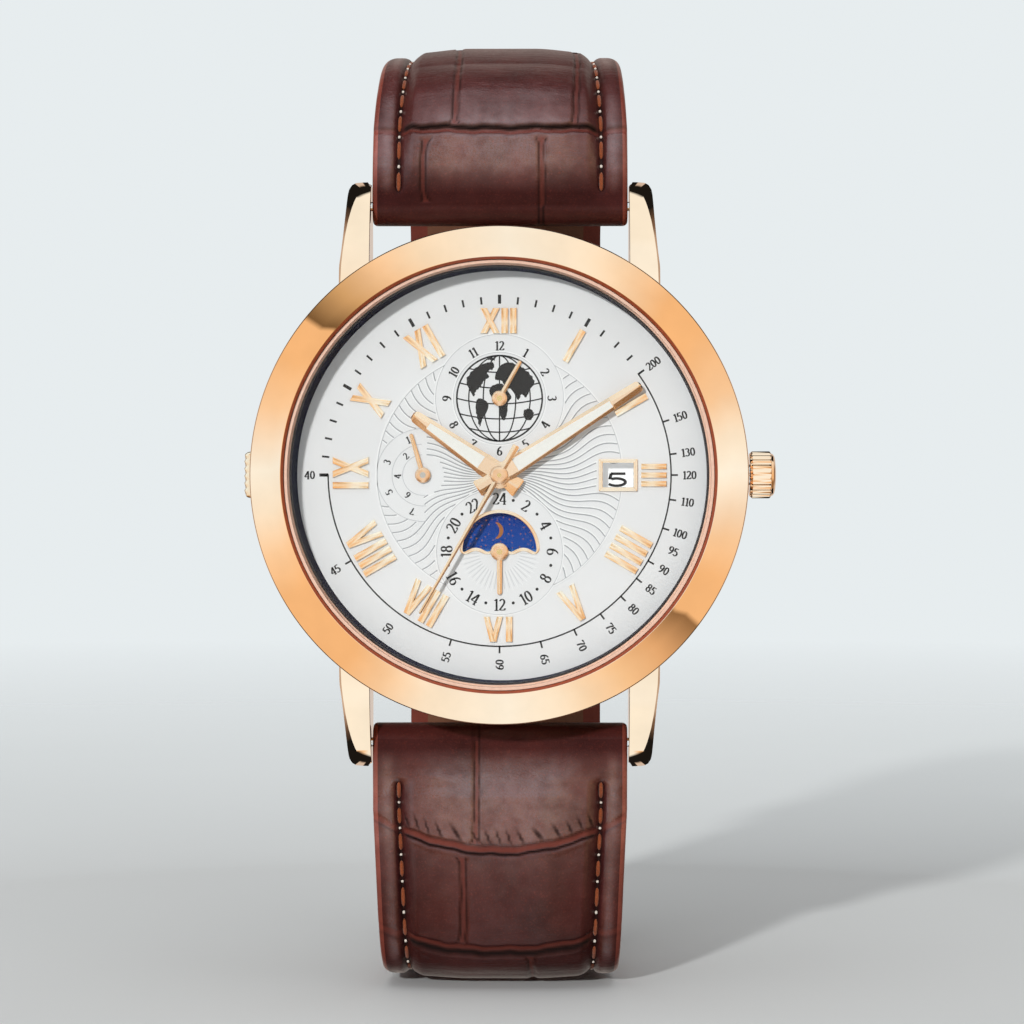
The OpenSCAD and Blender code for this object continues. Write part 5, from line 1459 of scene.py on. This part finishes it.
def buckle_tongue():
    """Tongue from its eye round the hinge to its tip on the outer bar, drawn by its two edges."""
    hy, hz = HINGE
    top = [(hy - 0.62, hz + 0.55), (hy - 0.1, hz + 0.95), (hy + 0.55, hz + 0.85), (hy + 1.2, hz - 0.1),
           (33.2, -1.2), (35.0, -4.2), (35.85, -5.55), (35.95, -6.2), (35.9, -7.3)]
    low = [(hy - 0.82, hz - 0.15), (hy - 0.72, hz - 0.6), (hy - 0.25, hz - 1.0), (hy + 0.25, hz - 1.5),
           (32.35, -1.3), (33.9, -3.9), (34.92, -5.36), (35.1, -6.0), (35.1, -7.5)]
    section = ((-0.62, 0.14), (-0.5, 0.0), (0.5, 0.0), (0.62, 0.14), (0.62, 0.86), (0.5, 1.0), (-0.5, 1.0),
               (-0.62, 0.86))
    verts = [(x, ty + (ly - ty) * k, tz + (lz - tz) * k) for (ty, tz), (ly, lz) in zip(top, low)
             for x, k in section]
    make("buckle_tongue_curved", verts, skin(len(top), len(section)), [rose_gold], "tongue", "buckle_tongue",
         "rose_gold", 35)


buckle_frame()
buckle_tongue()


# Carried-over solids get their materials
CARRIED = (
    (clear_ring, ("crystal_gasket",)), (back_steel, ("case_back",)), (battery_steel, ("battery",)),
    (gasket, ("case_back_gasket", "crown_gasket")), (holder, ("movement_holder",)),
    (board, ("circuit_board",)),
    (steel, ("crown_tube", "setting_lever", "battery_clamp", "setting_wheel", "date_jumper", "weekday_star")),
    (steel_polished, ("stem", "sliding_pinion", "quartz_can", "cannon_pinion", "buckle_bar", "strap_bars")),
    (plate_brass, ("main_plate", "train_bridge")), (copper, ("coil",)), (iron, ("stator", "rotor")),
    (brass, ("fifth_wheel", "fourth_wheel", "third_wheel", "centre_wheel", "minute_wheel", "hour_wheel",
             "idler_wheel", "day_night_wheel", "month_wheel")),
    (sky_blue, ("day_night_disc",)), (disc_white, ("date_disc",)), (screw_blue, ("movement_screws",)),
)
for mat, names in CARRIED:
    for name in names:
        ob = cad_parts[name]
        if not ob.material_slots:
            ob.data.materials.append(mat)
        for slot in ob.material_slots:
            slot.material = mat


# Floor, light and camera

def stage_floor():
    """Pale round floor that fades into the pale room all round."""
    floor_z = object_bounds()[0][2] - 0.00002
    me = bpy.data.meshes.new("studio_floor")
    me.from_pydata([(*p, floor_z) for p in arc_points(0, 0, 0.6, 0, 360, 96)[:-1]], [], [tuple(range(96))])
    m, t, b = material("studio_pale", (0.69, 0.71, 0.72), 0.7)
    feed(b, "Base Color", blend(t, middle(t, noise(t, 9)), (0.72, 0.75, 0.76), (0.75, 0.78, 0.79)))
    x, y, _ = parts_of(t, coords(t))
    far = calc(t, "POWER", spread(t, distance(t, x, y), 0.09, 0.55), 0.6)
    gone = calc(t, "MAXIMUM", node(t, "ShaderNodeLightPath").outputs["Is Glossy Ray"], far)
    through = node(t, "ShaderNodeBsdfTransparent").outputs[0]
    mix = node(t, "ShaderNodeMixShader", {0: gone, 1: b.outputs[0], 2: through}).outputs[0]
    t.links.new(mix, t.nodes["Material Output"].inputs[0])
    me.materials.append(m)
    linked("studio_floor", me)


def studio_world():
    """Pale room. Polished metal sees soft cards set round the camera, two of them ending in a dark edge."""
    w = bpy.data.worlds.new("studio")
    bpy.context.scene.world = w
    w.use_nodes = True
    t = w.node_tree
    t.nodes.clear()
    x, y, z = parts_of(t, node(t, "ShaderNodeTexCoord").outputs["Generated"])
    away = times(t, calc(t, "ARCCOSINE", times(t, y, -1.0)), 180 / math.pi)
    around = calc(t, "FRACT", plus(t, calc(t, "DIVIDE", calc(t, "ARCTAN2", z, x), 2 * math.pi), 1.0))
    bent = plus(t, around, spread(t, away, 20.5, 24.0, 1.5 / 360, 0.0))

    def cards(stops, around):
        """Colours by direction round the line of sight, in degrees; halved and doubled to stay above one."""
        tones = ramp(t, around, [(a / 360, scaled(colour, 0.5)) for a, colour in stops])
        return blend(t, 1.0, tones, grey(2.0), "MULTIPLY")

    cream, pale, peach = (1.06, 1.24, 1.38), (1.05, 1.12, 1.13), (1.03, 0.84, 0.63)
    orange, tan, dark = (1.0, 0.69, 0.40), (0.71, 0.51, 0.28), (0.168, 0.105, 0.048)
    bright, brown, low = (1.04, 1.18, 1.26), (0.42, 0.22, 0.08), (0.30, 0.17, 0.07)
    ring = cards([(0, cream), (10, pale), (20, peach), (36, orange), (46, orange), (60, (1.04, 0.96, 0.83)),
                  (70, pale), (90, cream), (112, (1.04, 1.04, 0.97)), (122, peach), (133, tan),
                  (142.8, dark), (143.1, orange), (153, orange), (165, peach), (180, cream),
                  (190, pale), (200, peach), (210, orange), (230, orange), (240, (1.02, 0.86, 0.67)),
                  (250, pale), (270, cream), (283, pale), (290, (1.05, 0.99, 0.87)),
                  (300, (1.01, 0.79, 0.54)), (310, (0.85, 0.57, 0.33)), (321.3, (0.29, 0.18, 0.09)),
                  (321.6, orange), (333, orange), (343, peach), (360, cream)], bent)
    sides = cards([(0, orange), (30, peach), (70, bright), (170, bright), (205, peach), (220, brown),
                   (244, brown), (258, peach), (264, bright), (277, bright), (286, orange), (300, low),
                   (328, low), (345, orange), (360, orange)], around)
    glossy = blend(t, spread(t, away, 5.0, 8.0), (1.0, 1.03, 1.05), ring)
    glossy = blend(t, spread(t, away, 33.0, 39.0), glossy, sides)
    flank = ramp(t, around, [(a / 360, grey(v)) for a, v in (
        (0, 1), (22, 1), (38, 0), (142, 0), (158, 1), (202, 1), (218, 0), (322, 0), (338, 1), (360, 1))])
    glossy = blend(t, spread(t, away, 92.0, 99.0), glossy, blend(t, flank, grey(0.012), (0.30, 0.20, 0.14)))
    later = plus(t, away, times(t, flank, 18.0))
    glossy = blend(t, spread(t, later, 131.0, 142.0), glossy, (0.68, 0.60, 0.54))
    path = node(t, "ShaderNodeLightPath").outputs
    colour = blend(t, path["Is Glossy Ray"], grey(0.31), glossy)
    colour = blend(t, path["Is Camera Ray"], colour, (0.80, 0.845, 0.86))
    back = node(t, "ShaderNodeBackground", {"Color": colour, "Strength": 1.0})
    node(t, "ShaderNodeOutputWorld", {0: back.outputs[0]})


def lamp(name, kind, power, colour, **props):
    """Lamp that polished metal doesn't see."""
    data = bpy.data.lights.new(name, kind)
    data.energy, data.color = power, colour
    for key, value in props.items():
        setattr(data, key, value)
    ob = linked(name, data)
    ob.visible_glossy = False
    return ob


def key_light(off, around):
    """Far lamp at an angle off the line of sight, in a direction round it."""
    a, b = math.radians(off), math.radians(around)
    toward = Vector((math.sin(a) * math.cos(b), -math.cos(a), math.sin(a) * math.sin(b)))
    ob = lamp("key_upper_left", "SUN", 2.2, (1.0, 0.99, 0.97), angle=math.radians(3.5))
    ob.rotation_euler = toward.to_track_quat("Z", "Y").to_euler()


def fill_light(at, target):
    ob = lamp("soft_above", "AREA", 0.9, (1.0, 0.99, 0.98), shape="RECTANGLE", size=0.5, size_y=0.5)
    ob.location = at
    ob.rotation_euler = (Vector(target) - Vector(at)).to_track_quat("-Z", "Y").to_euler()
    ob.visible_camera = False


def camera():
    data = bpy.data.cameras.new("camera")
    data.sensor_width, data.lens = 36.0, 125.8
    data.clip_start, data.clip_end = 0.01, 10.0
    ob = linked("camera", data)
    right, up, away = math.radians(0.9), math.radians(0.5), 0.300
    front = Vector((0.0, -0.010, 0.0))
    toward = Vector((math.sin(right) * math.cos(up), -math.cos(right) * math.cos(up), math.sin(up)))
    ob.location = front + away * toward
    aim = front + Vector((0.0011, 0.0, -0.00307))
    ob.rotation_euler = (aim - ob.location).to_track_quat("-Z", "Y").to_euler()
    bpy.context.scene.camera = ob


stage_floor()
studio_world()
key_light(27, 135)
fill_light((0.0, -0.10, 0.50), (0, -0.02, 0))
camera()
bpy.context.scene.view_settings.view_transform = "Standard"
